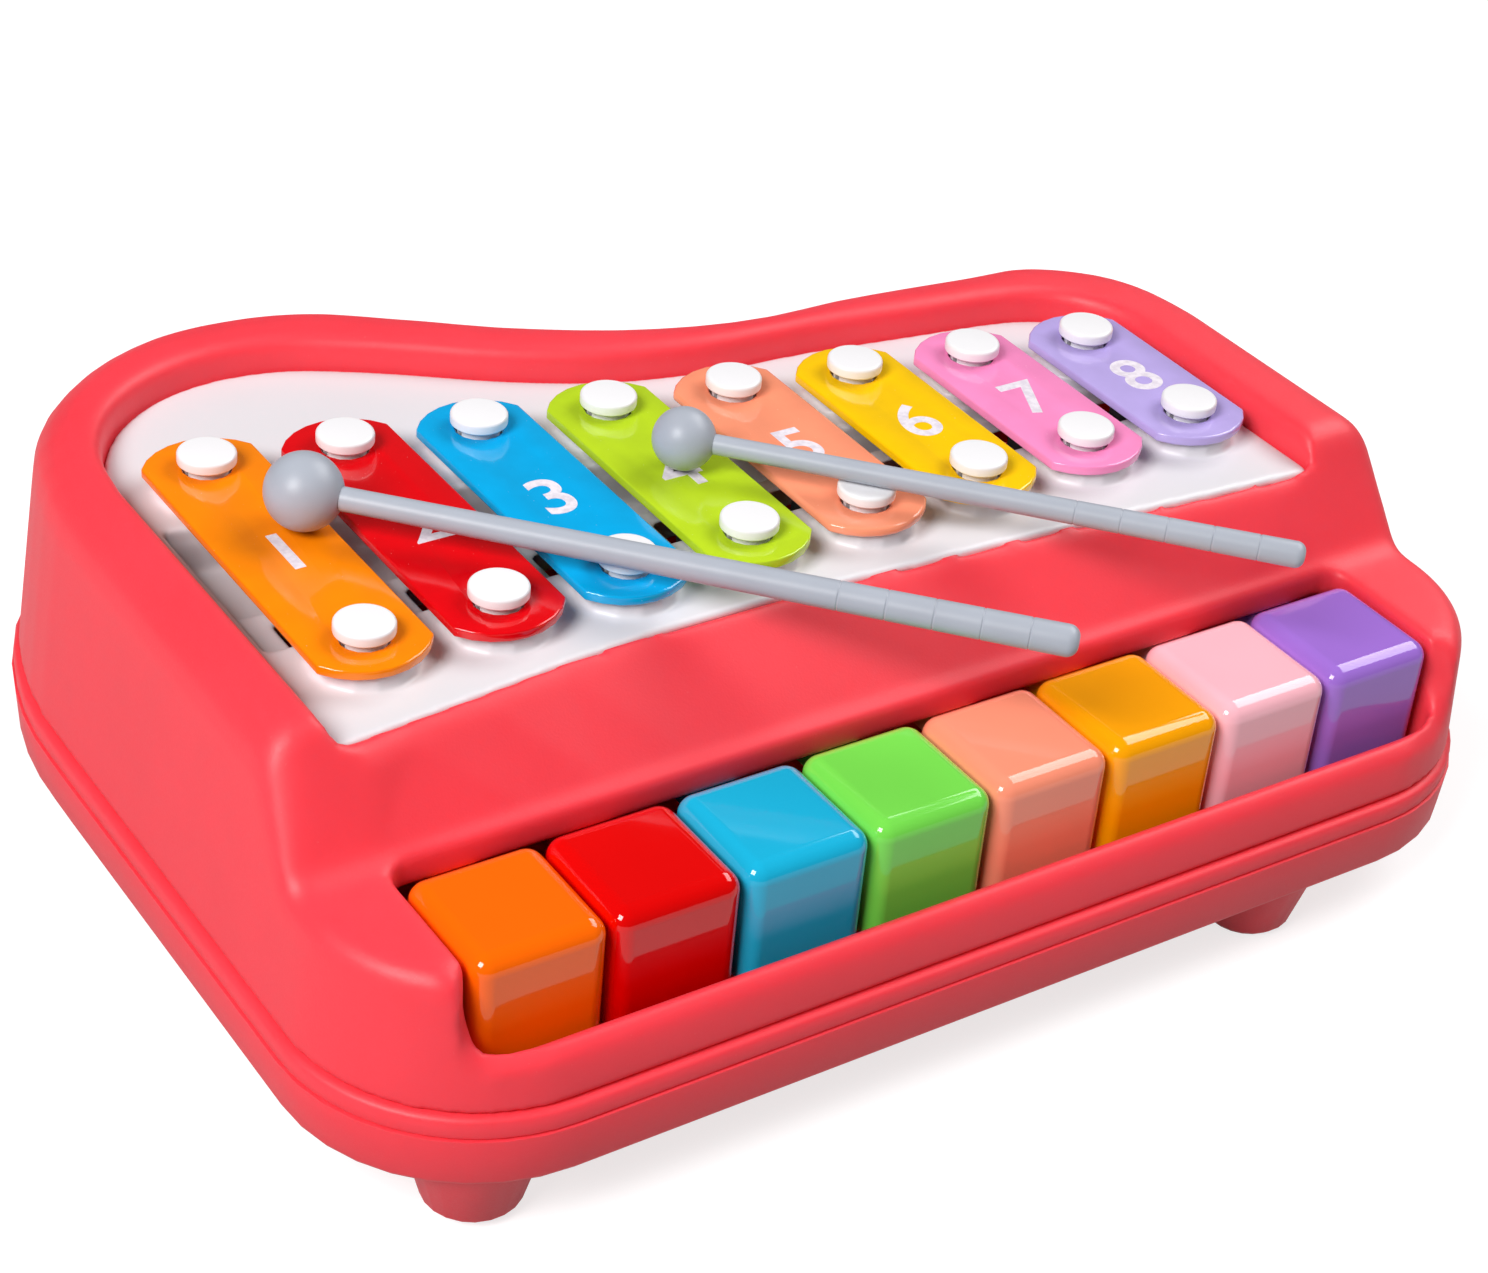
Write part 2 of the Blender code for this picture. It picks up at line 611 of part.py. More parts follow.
def housing_block(name, skin):
    """Closed block with the outer shape of the top housing, drawn in by a skin."""
    left = left_stations(skin)
    right = [(-x, y, -out_x, out_y, height) for x, y, out_x, out_y, height in left]
    back = [place + (CREST_TOP,) for place in outer_back()]
    stations = left + back + right[::-1]
    count = len(stations)

    def ring(level):
        points = []
        for x, y, out_x, out_y, height in stations:
            inset, z = level(out_x, height)
            points.append((x - out_x * inset, y - out_y * inset, z))
        return points

    def on_round(share):
        def level(out_x, height):
            draft = wall_draft(out_x)
            turn = draft + (pi / 2 - draft) * share
            radius = edge_round(height, out_x) - skin
            inset = round_centre(height, out_x, skin) - radius * cos(turn)
            return inset, height - skin - radius * (1 - sin(turn))
        return level

    if skin == 0.0:
        rings = [ring(lambda out_x, height: (0.0, PARTING + SEAT_GAP / 2)),
                 ring(lambda out_x, height: (0.0, WALL_FOOT - BEAD_ROUND)),
                 ring(lambda out_x, height: (BEAD_ROUND / 2, WALL_FOOT - BEAD_ROUND / 3)),
                 ring(lambda out_x, height: (BEAD_PROUD, WALL_FOOT))]
    else:
        rings = [ring(lambda out_x, height: (BEAD_PROUD + skin, PARTING - OVERRUN)),
                 ring(lambda out_x, height: (BEAD_PROUD + skin, WALL_FOOT))]
    for step in range(EDGE_STEPS + 1):
        rings.append(ring(on_round(step / EDGE_STEPS)))

    vertices = [point for points in rings for point in points]
    faces = [tuple(range(count))]
    for level in range(len(rings) - 1):
        low, high = level * count, (level + 1) * count
        for index in range(count):
            after = (index + 1) % count
            faces.append((low + index, low + after, high + after, high + index))
    top = (len(rings) - 1) * count
    for index in range(len(left) - 1):
        opposite = count - 1 - index
        faces.append((top + index, top + index + 1, top + opposite - 1, top + opposite))
    faces.append(tuple(range(top + len(left) - 1, top + count - len(left) + 1)))
    return solid(name, vertices, faces)


def screw_places():
    """Centres of the four case screws, close inside the side walls."""
    side = HALF_WIDTH - SCREW_SIDE_INSET
    setbacks = (SCREW_FRONT_SETBACK, SCREW_REAR_SETBACK)
    return [(x, FRONT + setback) for x in (-side, side) for setback in setbacks]


def top_housing(look):
    housing = housing_block("top_housing", 0.0)
    cavity = housing_block("cavity", SKIN)
    high = CREST_TOP + OVERRUN
    seat_top = TRAY_BOTTOM - SEAT_GAP
    seat_bottom = seat_top - SEAT_THICKNESS
    cut(cavity, slope_scoop("cavity_scoop", SKIN))
    cut(cavity, prism("collar", opening_plan(COLLAR_WALL), seat_bottom, high))
    side = WELL_HALF + SKIN + CHEEK_LEAN + SEAT_GAP
    cut(cavity, prism("well_head", box_plan(-side, side, FRONT, WELL_BACK + WELL_WALL),
                      ARM_TOP + ARM_WINDOW_GAP, high))
    cut(cavity, prism("well_skirt", box_plan(-side, side, FRONT, WELL_BACK - ARM_WINDOW_SETBACK),
                      LEDGE_TOP - WELL_WALL_DEPTH, high))
    for place in screw_places():
        cut(cavity, cylinder("screw_post", SCREW_POST_RADIUS, PARTING + SEAT_GAP, high, place, SMALL_STEPS))
    cut(housing, cavity)

    flare = [(0.0, seat_top), (0.0, CREST_TOP - OPENING_FLARE)]
    for step in range(1, FILLET_STEPS):
        angle = pi / 2 * step / FILLET_STEPS
        flare.append((OPENING_FLARE * (1 - cos(angle)), CREST_TOP - OPENING_FLARE * (1 - sin(angle))))
    flare += [(OPENING_FLARE, CREST_TOP + SEAT_GAP), (OPENING_FLARE, high)]
    rings = [[(x, y, z) for x, y in opening_plan(spread)] for spread, z in flare]
    cut(housing, stack("opening", rings))
    cut(housing, prism("seat", opening_plan(-SEAT_WIDTH), seat_bottom - OVERRUN, seat_top + OVERRUN))
    cut(housing, prism("trough_way", trough_plan(TROUGH_WALL + SEAT_GAP), seat_bottom - OVERRUN,
                       seat_top + OVERRUN))
    cut(housing, lip_notch())
    cut(housing, slope_scoop("scoop", 0.0))
    cut(housing, prism("well", well_plan(), PARTING - OVERRUN, high))
    for place in screw_places():
        cut(housing, cylinder("pilot", SCREW_BORE / 2, PARTING - OVERRUN, PARTING + SCREW_LENGTH, place,
                              SMALL_STEPS))
    return finish(housing, look)


def lip_notch():
    """Cutter that lowers the front edge of the tray opening between the two cheeks."""
    left, right = OPENING_LEFT + LIP_NOTCH_INSET, OPENING_HALF - LIP_NOTCH_INSET
    high = CREST_TOP + OVERRUN
    outline, opposite = [(left - OVERRUN, high)], [(right + OVERRUN, high)]
    for step in range(FILLET_STEPS + 1):
        angle = pi / 2 * step / FILLET_STEPS
        inset, z = LIP_NOTCH_FILLET * (1 - cos(angle)), LIP_TOP + LIP_NOTCH_FILLET * (1 - sin(angle))
        outline.append((left + inset, z))
        opposite.append((right - inset, z))
    outline += opposite[::-1]
    front, back = SLOPE_FOOT, OPENING_FRONT + LIP_BOW + OPENING_CORNER
    return stack("lip_notch", [[(x, front, z) for x, z in outline], [(x, back, z) for x, z in outline]])


def slope_scoop(name, skin):
    """Cutter that bows the slope and the lip back between the cheeks, for a skin inside the outer shape."""
    low, lip = LEDGE_TOP + SCOOP_STEP, LIP_TOP + SEAT_GAP
    inset = LIP_NOTCH_INSET + LIP_NOTCH_FILLET
    front, back = WELL_BACK - OVERRUN, OPENING_FRONT + LIP_BOW + LIP_ROUND
    high = CREST_TOP + OVERRUN
    ends = [
        (place / OPENING_HALF, SCOOP_END_SHARE, 0.0)
        for place in (OPENING_LEFT + inset, OPENING_HALF - inset)]
    profiles = []
    for across, share, _ in ends[:1] + BOW_SHARES + ends[1:]:
        foot = SLOPE_FOOT + (low - LEDGE_TOP) / tan(SLOPE_ANGLE) + share * FOOT_BOW
        head = SLOPE_FOOT + (lip - LEDGE_TOP) / tan(SLOPE_ANGLE) + share * SLOPE_BOW
        angle = atan2(lip - low, head - foot)
        half_turn = tan(angle / 2)
        foot += skin * half_turn
        head += skin * half_turn
        bend = SLOPE_FILLET / 2
        outline = [(front, low - skin)]
        for step in range(FILLET_STEPS + 1):
            turn = angle * step / FILLET_STEPS
            outline.append((foot + bend * (sin(turn) - half_turn), low - skin + bend * (1 - cos(turn))))
        for step in range(FILLET_STEPS + 1):
            turn = angle * (1 - step / FILLET_STEPS)
            y = head + LIP_ROUND * (half_turn - sin(turn))
            outline.append((y, lip - skin - LIP_ROUND * (1 - cos(turn))))
        outline += [(back, lip - skin), (back, high), (front, high)]
        profiles.append([(across * OPENING_HALF, y, z) for y, z in outline])
    return stack(name, profiles)


# Bottom housing

def foot_places():
    """Centres of the four feet; the front right foot stands further in than the left one."""
    inset = FOOT_TOP_DIAMETER / 2 + BASE_TAPER + BASE_EDGE + FOOT_EDGE_GAP
    reach = FRONT_CORNER - inset
    rear_x = HALF_WIDTH - REAR_FOOT_INSET
    return [(-CORNER_X - reach * sin(LEFT_FOOT_TURN), CORNER_Y - reach * cos(LEFT_FOOT_TURN)),
            (HALF_WIDTH - RIGHT_FOOT_INSET, FRONT + inset),
            (rear_x, rear_row(rear_x) + REAR_RIGHT_FOOT_SHARE * BACK_REACH),
            (-rear_x, rear_row(-rear_x) + REAR_LEFT_FOOT_SHARE * BACK_REACH)]


def base_plan():
    """Edge of the base, clockwise from the front left corner."""
    corner = arc(-CORNER_X, CORNER_Y, FRONT_CORNER, 1.5 * pi, pi, CORNER_STEPS)
    return corner + outer_back() + mirrored(corner)


def bottom_housing(look):
    plan = base_plan()
    top = PARTING - SEAT_GAP / 2
    levels = [(BASE_TAPER + BASE_EDGE, BASE_BOTTOM),
              (BASE_TAPER + BASE_EDGE / 3, BASE_BOTTOM + BASE_EDGE / 3),
              (BASE_TAPER, BASE_BOTTOM + BASE_EDGE), (0.0, top)]
    base = stack("bottom_housing", [[(x, y, z) for x, y in shifted(plan, -inset)] for inset, z in levels])
    cut(base, prism("hollow", shifted(plan, -BASE_TAPER - SKIN), FLOOR_TOP, top + OVERRUN))
    radius = FOOT_DIAMETER / 2
    sole = []
    for step in range(ROUND_STEPS + 1):
        angle = pi / 2 * step / ROUND_STEPS
        sole.append((radius - FOOT_ROUND * (1 - sin(angle)), FOOT_ROUND * (1 - cos(angle))))
    for place in foot_places():
        root = FLOOR_TOP - SEAT_GAP
        join(base, turned("foot", [(0.0, 0.0)] + sole + [(FOOT_TOP_DIAMETER / 2, BASE_BOTTOM),
                                                         (FOOT_TOP_DIAMETER / 2, root), (0.0, root)],
                          FOOT_STEPS, place))
        cut(base, turned("foot_hollow", [(0.0, FOOT_ROUND), (radius - SKIN, FOOT_ROUND),
                                         (FOOT_TOP_DIAMETER / 2 - SKIN, BASE_BOTTOM),
                                         (FOOT_TOP_DIAMETER / 2 - SKIN, FLOOR_TOP + OVERRUN),
                                         (0.0, FLOOR_TOP + OVERRUN)], SMALL_STEPS, place))
    root = FLOOR_TOP - SKIN / 2
    stop_front = FRONT + KEY_SETBACK + STOP_RIB_INSET - RIB_THICKNESS / 2
    rest_front = SHAFT_Y + REST_RIB_REACH - RIB_THICKNESS / 2
    rib_half = ROW_WIDTH / 2
    for front, height in ((stop_front, cap_bottom_pressed(stop_front) - RUNNING_GAP),
                          (rest_front, ARM_TOP - ARM_HEIGHT - SEAT_GAP)):
        join(base, prism("rib", box_plan(-rib_half, rib_half, front, front + RIB_THICKNESS), root, height))
    for x in shaft_post_places():
        join(base, prism("post", box_plan(x - POST_WIDTH / 2, x + POST_WIDTH / 2,
                                          SHAFT_Y - POST_DEPTH / 2, SHAFT_Y + POST_DEPTH / 2),
                         root, SHAFT_HEIGHT + SHAFT_DIAMETER / 2 + POST_ABOVE_SHAFT))
    cut(base, lying_cylinder("shaft_bore", SHAFT_DIAMETER / 2 + SEAT_GAP, -SHAFT_HALF - OVERRUN,
                             SHAFT_HALF + OVERRUN))
    for place in screw_places():
        join(base, cylinder("screw_boss", SCREW_POST_RADIUS, root, top, place, SMALL_STEPS))
        cut(base, cylinder("screw_way", SCREW_SHANK / 2 + RUNNING_GAP, BASE_BOTTOM - OVERRUN, top + OVERRUN,
                           place, SMALL_STEPS))
        cut(base, cylinder("screw_sink", SCREW_HEAD / 2 + RUNNING_GAP, BASE_BOTTOM - OVERRUN,
                           BASE_BOTTOM + SCREW_RECESS, place, SMALL_STEPS))
    return finish(base, look)


def shaft_post_places():
    """A post past each end of the row, and one between the two middle keys."""
    past = WELL_HALF + SHAFT_PAST_WELL / 2
    return [-past, 0.0, past]


def case_screw(name, place, look):
    bottom = BASE_BOTTOM + SCREW_RECESS - SEAT_GAP - SCREW_HEAD_THICKNESS
    under_head = bottom + SCREW_HEAD_THICKNESS
    tip = under_head + SCREW_LENGTH - SCREW_HEAD_THICKNESS
    radius = SCREW_BORE / 2 - SEAT_GAP
    profile = [(0.0, bottom), (SCREW_HEAD / 2, bottom), (SCREW_HEAD / 2, under_head), (radius, under_head),
               (radius, tip), (0.0, tip)]
    screw = turned(name, profile, SMALL_STEPS, place)
    slot = SCREW_SHANK / 4
    cut(screw, prism("slot", box_plan(place[0] - SCREW_HEAD, place[0] + SCREW_HEAD, place[1] - slot / 2,
                                      place[1] + slot / 2), bottom - OVERRUN, bottom + slot))
    return finish(screw, look)


# Sound tray

def stud_rows(note):
    """Y of a note's front stud and rear stud; the rear row runs closer to the front on the right."""
    return FRONT + FRONT_ROW, rear_row(note_x(note))


def trough_plan(margin, right=TROUGH_HALF, front_shift=0.0):
    """Tapered plan of the trough between the two rows of pedestals, grown by a margin."""
    left = -TROUGH_HALF
    front = FRONT + FRONT_ROW + TROUGH_CLEAR + front_shift
    back = -TROUGH_CLEAR - TROUGH_WALL + margin
    return [(left - margin, front - margin), (left - margin, rear_row(left) + back),
            (right + margin, rear_row(right) + back), (right + margin, front - margin)]


def sound_tray(look):
    tray = prism("sound_tray", opening_plan(-SEAT_GAP), TRAY_BOTTOM, TRAY_TOP)
    shelf = TRAY_TOP - SHELF_DEPTH
    floor = TRAY_TOP - TROUGH_DEPTH
    high = BAR_TOP
    blend = TRAY_BOTTOM + TRAY_PLATE / 2
    join(tray, prism("shelf_box", trough_plan(TROUGH_WALL), shelf - TROUGH_WALL, blend))
    join(tray, prism("deep_box", trough_plan(TROUGH_WALL - SEAT_GAP, DEEP_END_X, SHELF_WIDTH),
                     floor - TROUGH_WALL, blend))
    for note in range(NOTES):
        for y in stud_rows(note):
            join(tray, cylinder("pedestal", PEDESTAL_RADIUS, blend, BAR_BOTTOM - SEAT_GAP, (note_x(note), y)))
    cut(tray, prism("shelf_cut", trough_plan(0.0), shelf, high))
    cut(tray, prism("deep_cut", trough_plan(-SEAT_GAP, DEEP_END_X, SHELF_WIDTH), floor, high))
    swing = (HAMMER_TOP - SHAFT_HEIGHT) * sin(KEY_TRAVEL) + (HAMMER_Y - SHAFT_Y) * (1 - cos(KEY_TRAVEL))
    slot_front = HAMMER_Y - HAMMER_DIAMETER / 2 - swing - HAMMER_ROUND
    slot_back = HAMMER_Y + HAMMER_DIAMETER / 2 + HAMMER_ROUND
    for note in range(NOTES):
        x = note_x(note)
        cut(tray, prism("slot", box_plan(x - SLOT_WIDTH / 2, x + SLOT_WIDTH / 2, slot_front, slot_back),
                        floor - OVERRUN, high))
        for y in stud_rows(note):
            cut(tray, cylinder("stud_hole", STUD_NECK / 2 + SEAT_GAP, floor, high, (x, y)))
    return finish(tray, look)


# Tone bars and studs

def bar_plan(note):
    """Straight sides and shallow round ends that meet in small corners."""
    front, rear = stud_rows(note)
    x = note_x(note)
    half = asin(BAR_WIDTH / 2 / BAR_END_RADIUS)
    front_centre = front - BAR_OVERHANG + BAR_END_RADIUS
    rear_centre = rear + BAR_OVERHANG - BAR_END_RADIUS
    ends = arc(x, front_centre, BAR_END_RADIUS, 1.5 * pi + half, 1.5 * pi - half, BAR_END_STEPS)
    ends += arc(x, rear_centre, BAR_END_RADIUS, pi / 2 + half, pi / 2 - half, BAR_END_STEPS)
    return [point[:2] for point in ends]


def tone_bar(note, look):
    bar = prism("tone_bar_%d" % (note + 1), bar_plan(note), BAR_BOTTOM, BAR_TOP)
    for y in stud_rows(note):
        cut(bar, cylinder("bar_hole", STUD_NECK / 2 + STUD_HOLE_PLAY, BAR_BOTTOM - OVERRUN, BAR_TOP + OVERRUN,
                          (note_x(note), y)))
    return finish(bar, look, (note_x(note), stud_rows(note)[0], BAR_BOTTOM))


def stud(name, place, look):
    """Round cap on a neck that goes through the bar and into the pedestal."""
    head, neck = STUD_HEAD / 2, STUD_NECK / 2
    profile = [(0.0, TRAY_BOTTOM), (neck, TRAY_BOTTOM), (neck, STUD_UNDERSIDE), (head, STUD_UNDERSIDE),
               (head, STUD_TOP - STUD_HEAD_EDGE), (head - STUD_HEAD_EDGE, STUD_TOP), (0.0, STUD_TOP)]
    made = turned(name, profile, HOLE_STEPS, place)
    return finish(made, look, (place[0], place[1], STUD_UNDERSIDE))


# Keys, hammers and shaft

def lying_cylinder(name, radius, left, right, y=SHAFT_Y, z=SHAFT_HEIGHT, steps=HOLE_STEPS):
    circle = [(y + radius * cos(2 * pi * step / steps), z + radius * sin(2 * pi * step / steps))
              for step in range(steps)]
    return side_prism(name, circle, left, right)


def cap_bottom_pressed(y):
    """Height of the underside of a key's cap over a place along Y when the key is fully down."""
    below = SHAFT_HEIGHT - (LEDGE_TOP - KEY_HEIGHT)
    ahead = (SHAFT_Y - y + below * sin(KEY_TRAVEL)) / cos(KEY_TRAVEL)
    return SHAFT_HEIGHT - ahead * sin(KEY_TRAVEL) - below * cos(KEY_TRAVEL)


def rounded_cap(name, width, front, back, bottom, top, radius):
    """Block whose top edges and upright edges are rounded alike."""
    centre = Vector((0.0, (front + back) / 2, (bottom + top) / 2))
    model = bmesh.new()
    bmesh.ops.create_cube(model, size=1.0)
    bmesh.ops.scale(model, vec=(width, back - front, top - bottom), verts=model.verts)
    bmesh.ops.translate(model, vec=centre, verts=model.verts)
    edges = [edge for edge in model.edges if max(v.co.z for v in edge.verts) > centre.z]
    bmesh.ops.bevel(model, geom=edges, offset=radius, segments=3, profile=0.5, affect="EDGES")
    mesh = bpy.data.meshes.new(name)
    model.to_mesh(mesh)
    model.free()
    made = bpy.data.objects.new(name, mesh)
    bpy.context.collection.objects.link(made)
    return made


def key_lever(name):
    """Hollow cap, arm, shaft boss and hammer post of one key, modelled about x = 0."""
    front = FRONT + KEY_SETBACK
    back = front + KEY_DEPTH
    bottom = LEDGE_TOP - KEY_HEIGHT
    key = rounded_cap(name, KEY_WIDTH, front, back, bottom, LEDGE_TOP, KEY_ROUND)
    inner = KEY_WIDTH / 2 - KEY_WALL
    cut(key, prism("cap_hollow", box_plan(-inner, inner, front + KEY_WALL, back - KEY_WALL), bottom - OVERRUN,
                   LEDGE_TOP - KEY_WALL))
    low = ARM_TOP - ARM_HEIGHT
    tail = HAMMER_Y + ARM_TAIL
    arm = prism("arm", box_plan(-ARM_WIDTH / 2, ARM_WIDTH / 2, back - KEY_WALL / 2, tail), low, ARM_TOP)
    join(arm, lying_cylinder("boss", KEY_BOSS_RADIUS, -ARM_WIDTH / 2 - SEAT_GAP, ARM_WIDTH / 2 + SEAT_GAP))
    join(arm, cylinder("hammer_post", HAMMER_POST / 2, low + ARM_HEIGHT / 2,
                       HAMMER_TOP - HAMMER_LENGTH + HAMMER_POST_DEPTH, (0.0, HAMMER_Y), SMALL_STEPS))
    join(key, arm)
    cut(key, lying_cylinder("bore", SHAFT_DIAMETER / 2 + RUNNING_GAP, -KEY_WIDTH, KEY_WIDTH))
    return key


def hammer(name, look, x):
    """Rubber cap pushed over the top of the hammer post."""
    bottom = HAMMER_TOP - HAMMER_LENGTH
    radius = HAMMER_DIAMETER / 2
    profile = [(0.0, bottom), (radius, bottom), (radius, HAMMER_TOP - HAMMER_ROUND),
               (radius - HAMMER_ROUND, HAMMER_TOP), (0.0, HAMMER_TOP)]
    made = turned(name, profile, SMALL_STEPS, (x, HAMMER_Y))
    cut(made, cylinder("socket", HAMMER_POST / 2 + SEAT_GAP, bottom - OVERRUN,
                       bottom + HAMMER_POST_DEPTH + SEAT_GAP, (x, HAMMER_Y), SMALL_STEPS))
    return finish(made, look, (x, HAMMER_Y, HAMMER_TOP))


# Mallets

def mallet_place(share, behind, height):
    """Place of a mallet's end over the bars or the keys."""
    return Vector((share * KEY_PITCH, FRONT + FRONT_ROW + behind, height))


def mallet(side, ball_diameter, centre, grip, thin, thick, look):
    """A ball on a tapered handle; the ball lies on a bar and the handle over a stud."""
    radius = ball_diameter / 2
    length = (grip - centre).length
    depth = radius * BALL_SOCKET_SHARE
    ball_profile = [(0.0, -radius)]
    for ring in range(1, BALL_RINGS):
        angle = pi * ring / BALL_RINGS
        ball_profile.append((radius * sin(angle), -radius * cos(angle)))
    ball = turned("mallet_ball_" + side, ball_profile + [(0.0, radius)], BALL_STEPS)
    cut(ball, cylinder("socket", thin + SEAT_GAP, radius - depth, radius + OVERRUN, (0.0, 0.0), HANDLE_STEPS))
    round_end = thick / 2
    stick = turned("mallet_handle_" + side,
                   [(0.0, radius - depth + SEAT_GAP), (thin, radius - depth + SEAT_GAP),
                    (thick, length - round_end), (thick - round_end, length), (0.0, length)], HANDLE_STEPS)
    turn = (grip - centre).to_track_quat("Z", "Y").to_matrix().to_4x4()
    for piece in (ball, stick):
        piece.data.transform(turn)
        finish(piece, look)
    ball.location = centre
    stick.parent = ball


def clear_scene():
    for thing in list(bpy.data.objects):
        bpy.data.objects.remove(thing)


def main():
    clear_scene()
    housing_look = material("housing_red", SRGB_SHARES["housing"], 0.5)
    tray_look = material("tray_white", SRGB_SHARES["tray"], 0.35)
    steel_look = material("steel", SRGB_SHARES["steel"], 0.3, 1.0)
    mallet_look = material("mallet_grey", SRGB_SHARES["mallet"], 0.4)
    rubber_look = material("hammer_rubber", SRGB_SHARES["rubber"], 0.6)
    top_housing(housing_look)
    bottom_housing(housing_look)
    sound_tray(tray_look)
    for number, place in enumerate(screw_places()):
        case_screw("case_screw_%d" % (number + 1), place, steel_look)
    finish(lying_cylinder("key_shaft", SHAFT_DIAMETER / 2, -SHAFT_HALF, SHAFT_HALF), steel_look,
           (0.0, SHAFT_Y, SHAFT_HEIGHT))
    pattern = key_lever("key_pattern")
    for note, (bar_colour, key_colour) in enumerate(zip(BAR_COLOUR_SHARES, KEY_COLOUR_SHARES)):
        number = note + 1
        x = note_x(note)
        tone_bar(note, material("bar_" + bar_colour, BAR_COLOUR_SHARES[bar_colour], 0.2))
        for row, y in zip(("front", "rear"), stud_rows(note)):
            stud("stud_%s_%d" % (row, number), (x, y), tray_look)
        key = bpy.data.objects.new("key_%d" % number, pattern.data.copy())
        bpy.context.collection.objects.link(key)
        finish(key, material("key_" + key_colour, KEY_COLOUR_SHARES[key_colour], 0.12),
               (0.0, SHAFT_Y, SHAFT_HEIGHT))
        key.location.x = x
        ride(hammer("hammer_%d" % number, rubber_look, x), key)
    bpy.data.objects.remove(pattern)
    left_height = BAR_TOP + SEAT_GAP + LEFT_BALL / 2
    mallet("left", LEFT_BALL, mallet_place(LEFT_BALL_SHARE, LEFT_BALL_BEHIND, left_height),
           mallet_place(LEFT_GRIP_SHARE, LEFT_GRIP_BEHIND, left_height - LEFT_GRIP_DROP),
           LEFT_HANDLE_TIP / 2, LEFT_HANDLE_GRIP / 2, mallet_look)
    right_height = BAR_TOP + SEAT_GAP + RIGHT_BALL / 2
    mallet("right", RIGHT_BALL, mallet_place(RIGHT_BALL_SHARE, RIGHT_BALL_BEHIND, right_height),
           mallet_place(RIGHT_GRIP_SHARE, RIGHT_GRIP_BEHIND, right_height - RIGHT_GRIP_DROP),
           RIGHT_HANDLE_TIP / 2, RIGHT_HANDLE_GRIP / 2, mallet_look)


main()
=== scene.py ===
# %% [markdown]
# # A toddler's xylophone piano
#
# The toy has a soft red moulded body, eight glossy keys and eight painted metal bars. The packed
# model gives every piece its place and its real size. This lesson gives each one its surface:
# rounded moulded edges, paint, print and grain. Each piece is either refined from a copy of its
# construction solid, or modelled afresh.

# %% Load the fixed frame
import json
from math import radians, sqrt

import bmesh
import bpy
from mathutils import Matrix, Vector


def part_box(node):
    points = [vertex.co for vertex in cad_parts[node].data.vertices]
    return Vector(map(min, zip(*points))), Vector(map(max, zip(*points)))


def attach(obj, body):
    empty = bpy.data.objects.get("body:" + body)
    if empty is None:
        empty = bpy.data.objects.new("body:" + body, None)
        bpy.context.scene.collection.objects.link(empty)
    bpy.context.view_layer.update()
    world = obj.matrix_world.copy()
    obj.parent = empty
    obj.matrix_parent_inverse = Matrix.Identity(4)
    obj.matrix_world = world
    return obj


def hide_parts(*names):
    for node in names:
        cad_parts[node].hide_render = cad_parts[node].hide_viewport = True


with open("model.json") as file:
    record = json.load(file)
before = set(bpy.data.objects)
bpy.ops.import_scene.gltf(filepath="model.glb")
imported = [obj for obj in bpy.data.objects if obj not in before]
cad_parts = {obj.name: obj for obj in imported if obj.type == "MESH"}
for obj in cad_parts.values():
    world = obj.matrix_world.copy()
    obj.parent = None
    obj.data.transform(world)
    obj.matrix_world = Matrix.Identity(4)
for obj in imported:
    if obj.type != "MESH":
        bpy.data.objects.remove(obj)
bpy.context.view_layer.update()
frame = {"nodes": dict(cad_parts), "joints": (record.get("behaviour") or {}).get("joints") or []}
MM = 0.001
NOTES = 8


def in_mm(corners, digits=1):
    """Corners in millimetres, rounded for printing."""
    return [[round(value / MM, digits) for value in corner] for corner in corners]


# %% [markdown]
# ## Working by hand, in code
#
# The operators of the edit menu act on whatever is selected. Loading leaves every solid selected,
# so each step first clears the selection, then picks faces or edges by their place, as one would
# pick them in the window.

# %% Selecting and editing
NEAR = 0.01 * MM
MERGE_DISTANCE = 0.002 * MM
FLAT_ANGLE = radians(0.3)
ROD_SIDES, FINE_SIDES = 32, 48


def clear_selection():
    """Leave nothing selected, ready for an operator that adds a piece."""
    bpy.ops.object.select_all(action="DESELECT")


def select_only(*pieces):
    """Leave edit mode and select just these pieces; the first one is active."""
    if bpy.context.mode != "OBJECT":
        bpy.ops.object.mode_set(mode="OBJECT")
    clear_selection()
    for piece in pieces:
        piece.select_set(True)
    bpy.context.view_layer.objects.active = pieces[0]


def edit(piece, kind="FACE", everything=False):
    """Enter edit mode on a piece with nothing selected, or with everything selected."""
    select_only(piece)
    bpy.ops.object.mode_set(mode="EDIT")
    bpy.ops.mesh.select_mode(type=kind)
    bpy.ops.mesh.select_all(action="SELECT" if everything else "DESELECT")


def pick(kind, wanted):
    """Select the faces, edges or verts of the edited mesh that pass a test."""
    mesh = bpy.context.edit_object.data
    model = bmesh.from_edit_mesh(mesh)
    for element in getattr(model, kind):
        element.select_set(wanted(element))
    bmesh.update_edit_mesh(mesh)


def done():
    """Leave edit mode."""
    bpy.ops.object.mode_set(mode="OBJECT")


def lowest(edge):
    """Height of the lower end of an edge."""
    return min(vert.co.z for vert in edge.verts)


def highest(edge):
    """Height of the upper end of an edge."""
    return max(vert.co.z for vert in edge.verts)


def round_edges(piece, wanted, width, steps):
    """Round the edges of a piece that pass a test, in a number of small steps."""
    edit(piece, "EDGE")
    pick("edges", wanted)
    bpy.ops.mesh.bevel(offset=width, segments=steps, profile=0.5, affect="EDGES")
    done()


def hollow(piece, wall, depth):
    """Sink a hollow into the underside of a piece and leave a wall round it."""
    edit(piece)
    pick("faces", lambda face: face.normal.z < -0.9)
    bpy.ops.mesh.inset(thickness=wall)
    bpy.ops.mesh.extrude_region_move(TRANSFORM_OT_translate={"value": (0, 0, depth)})
    done()


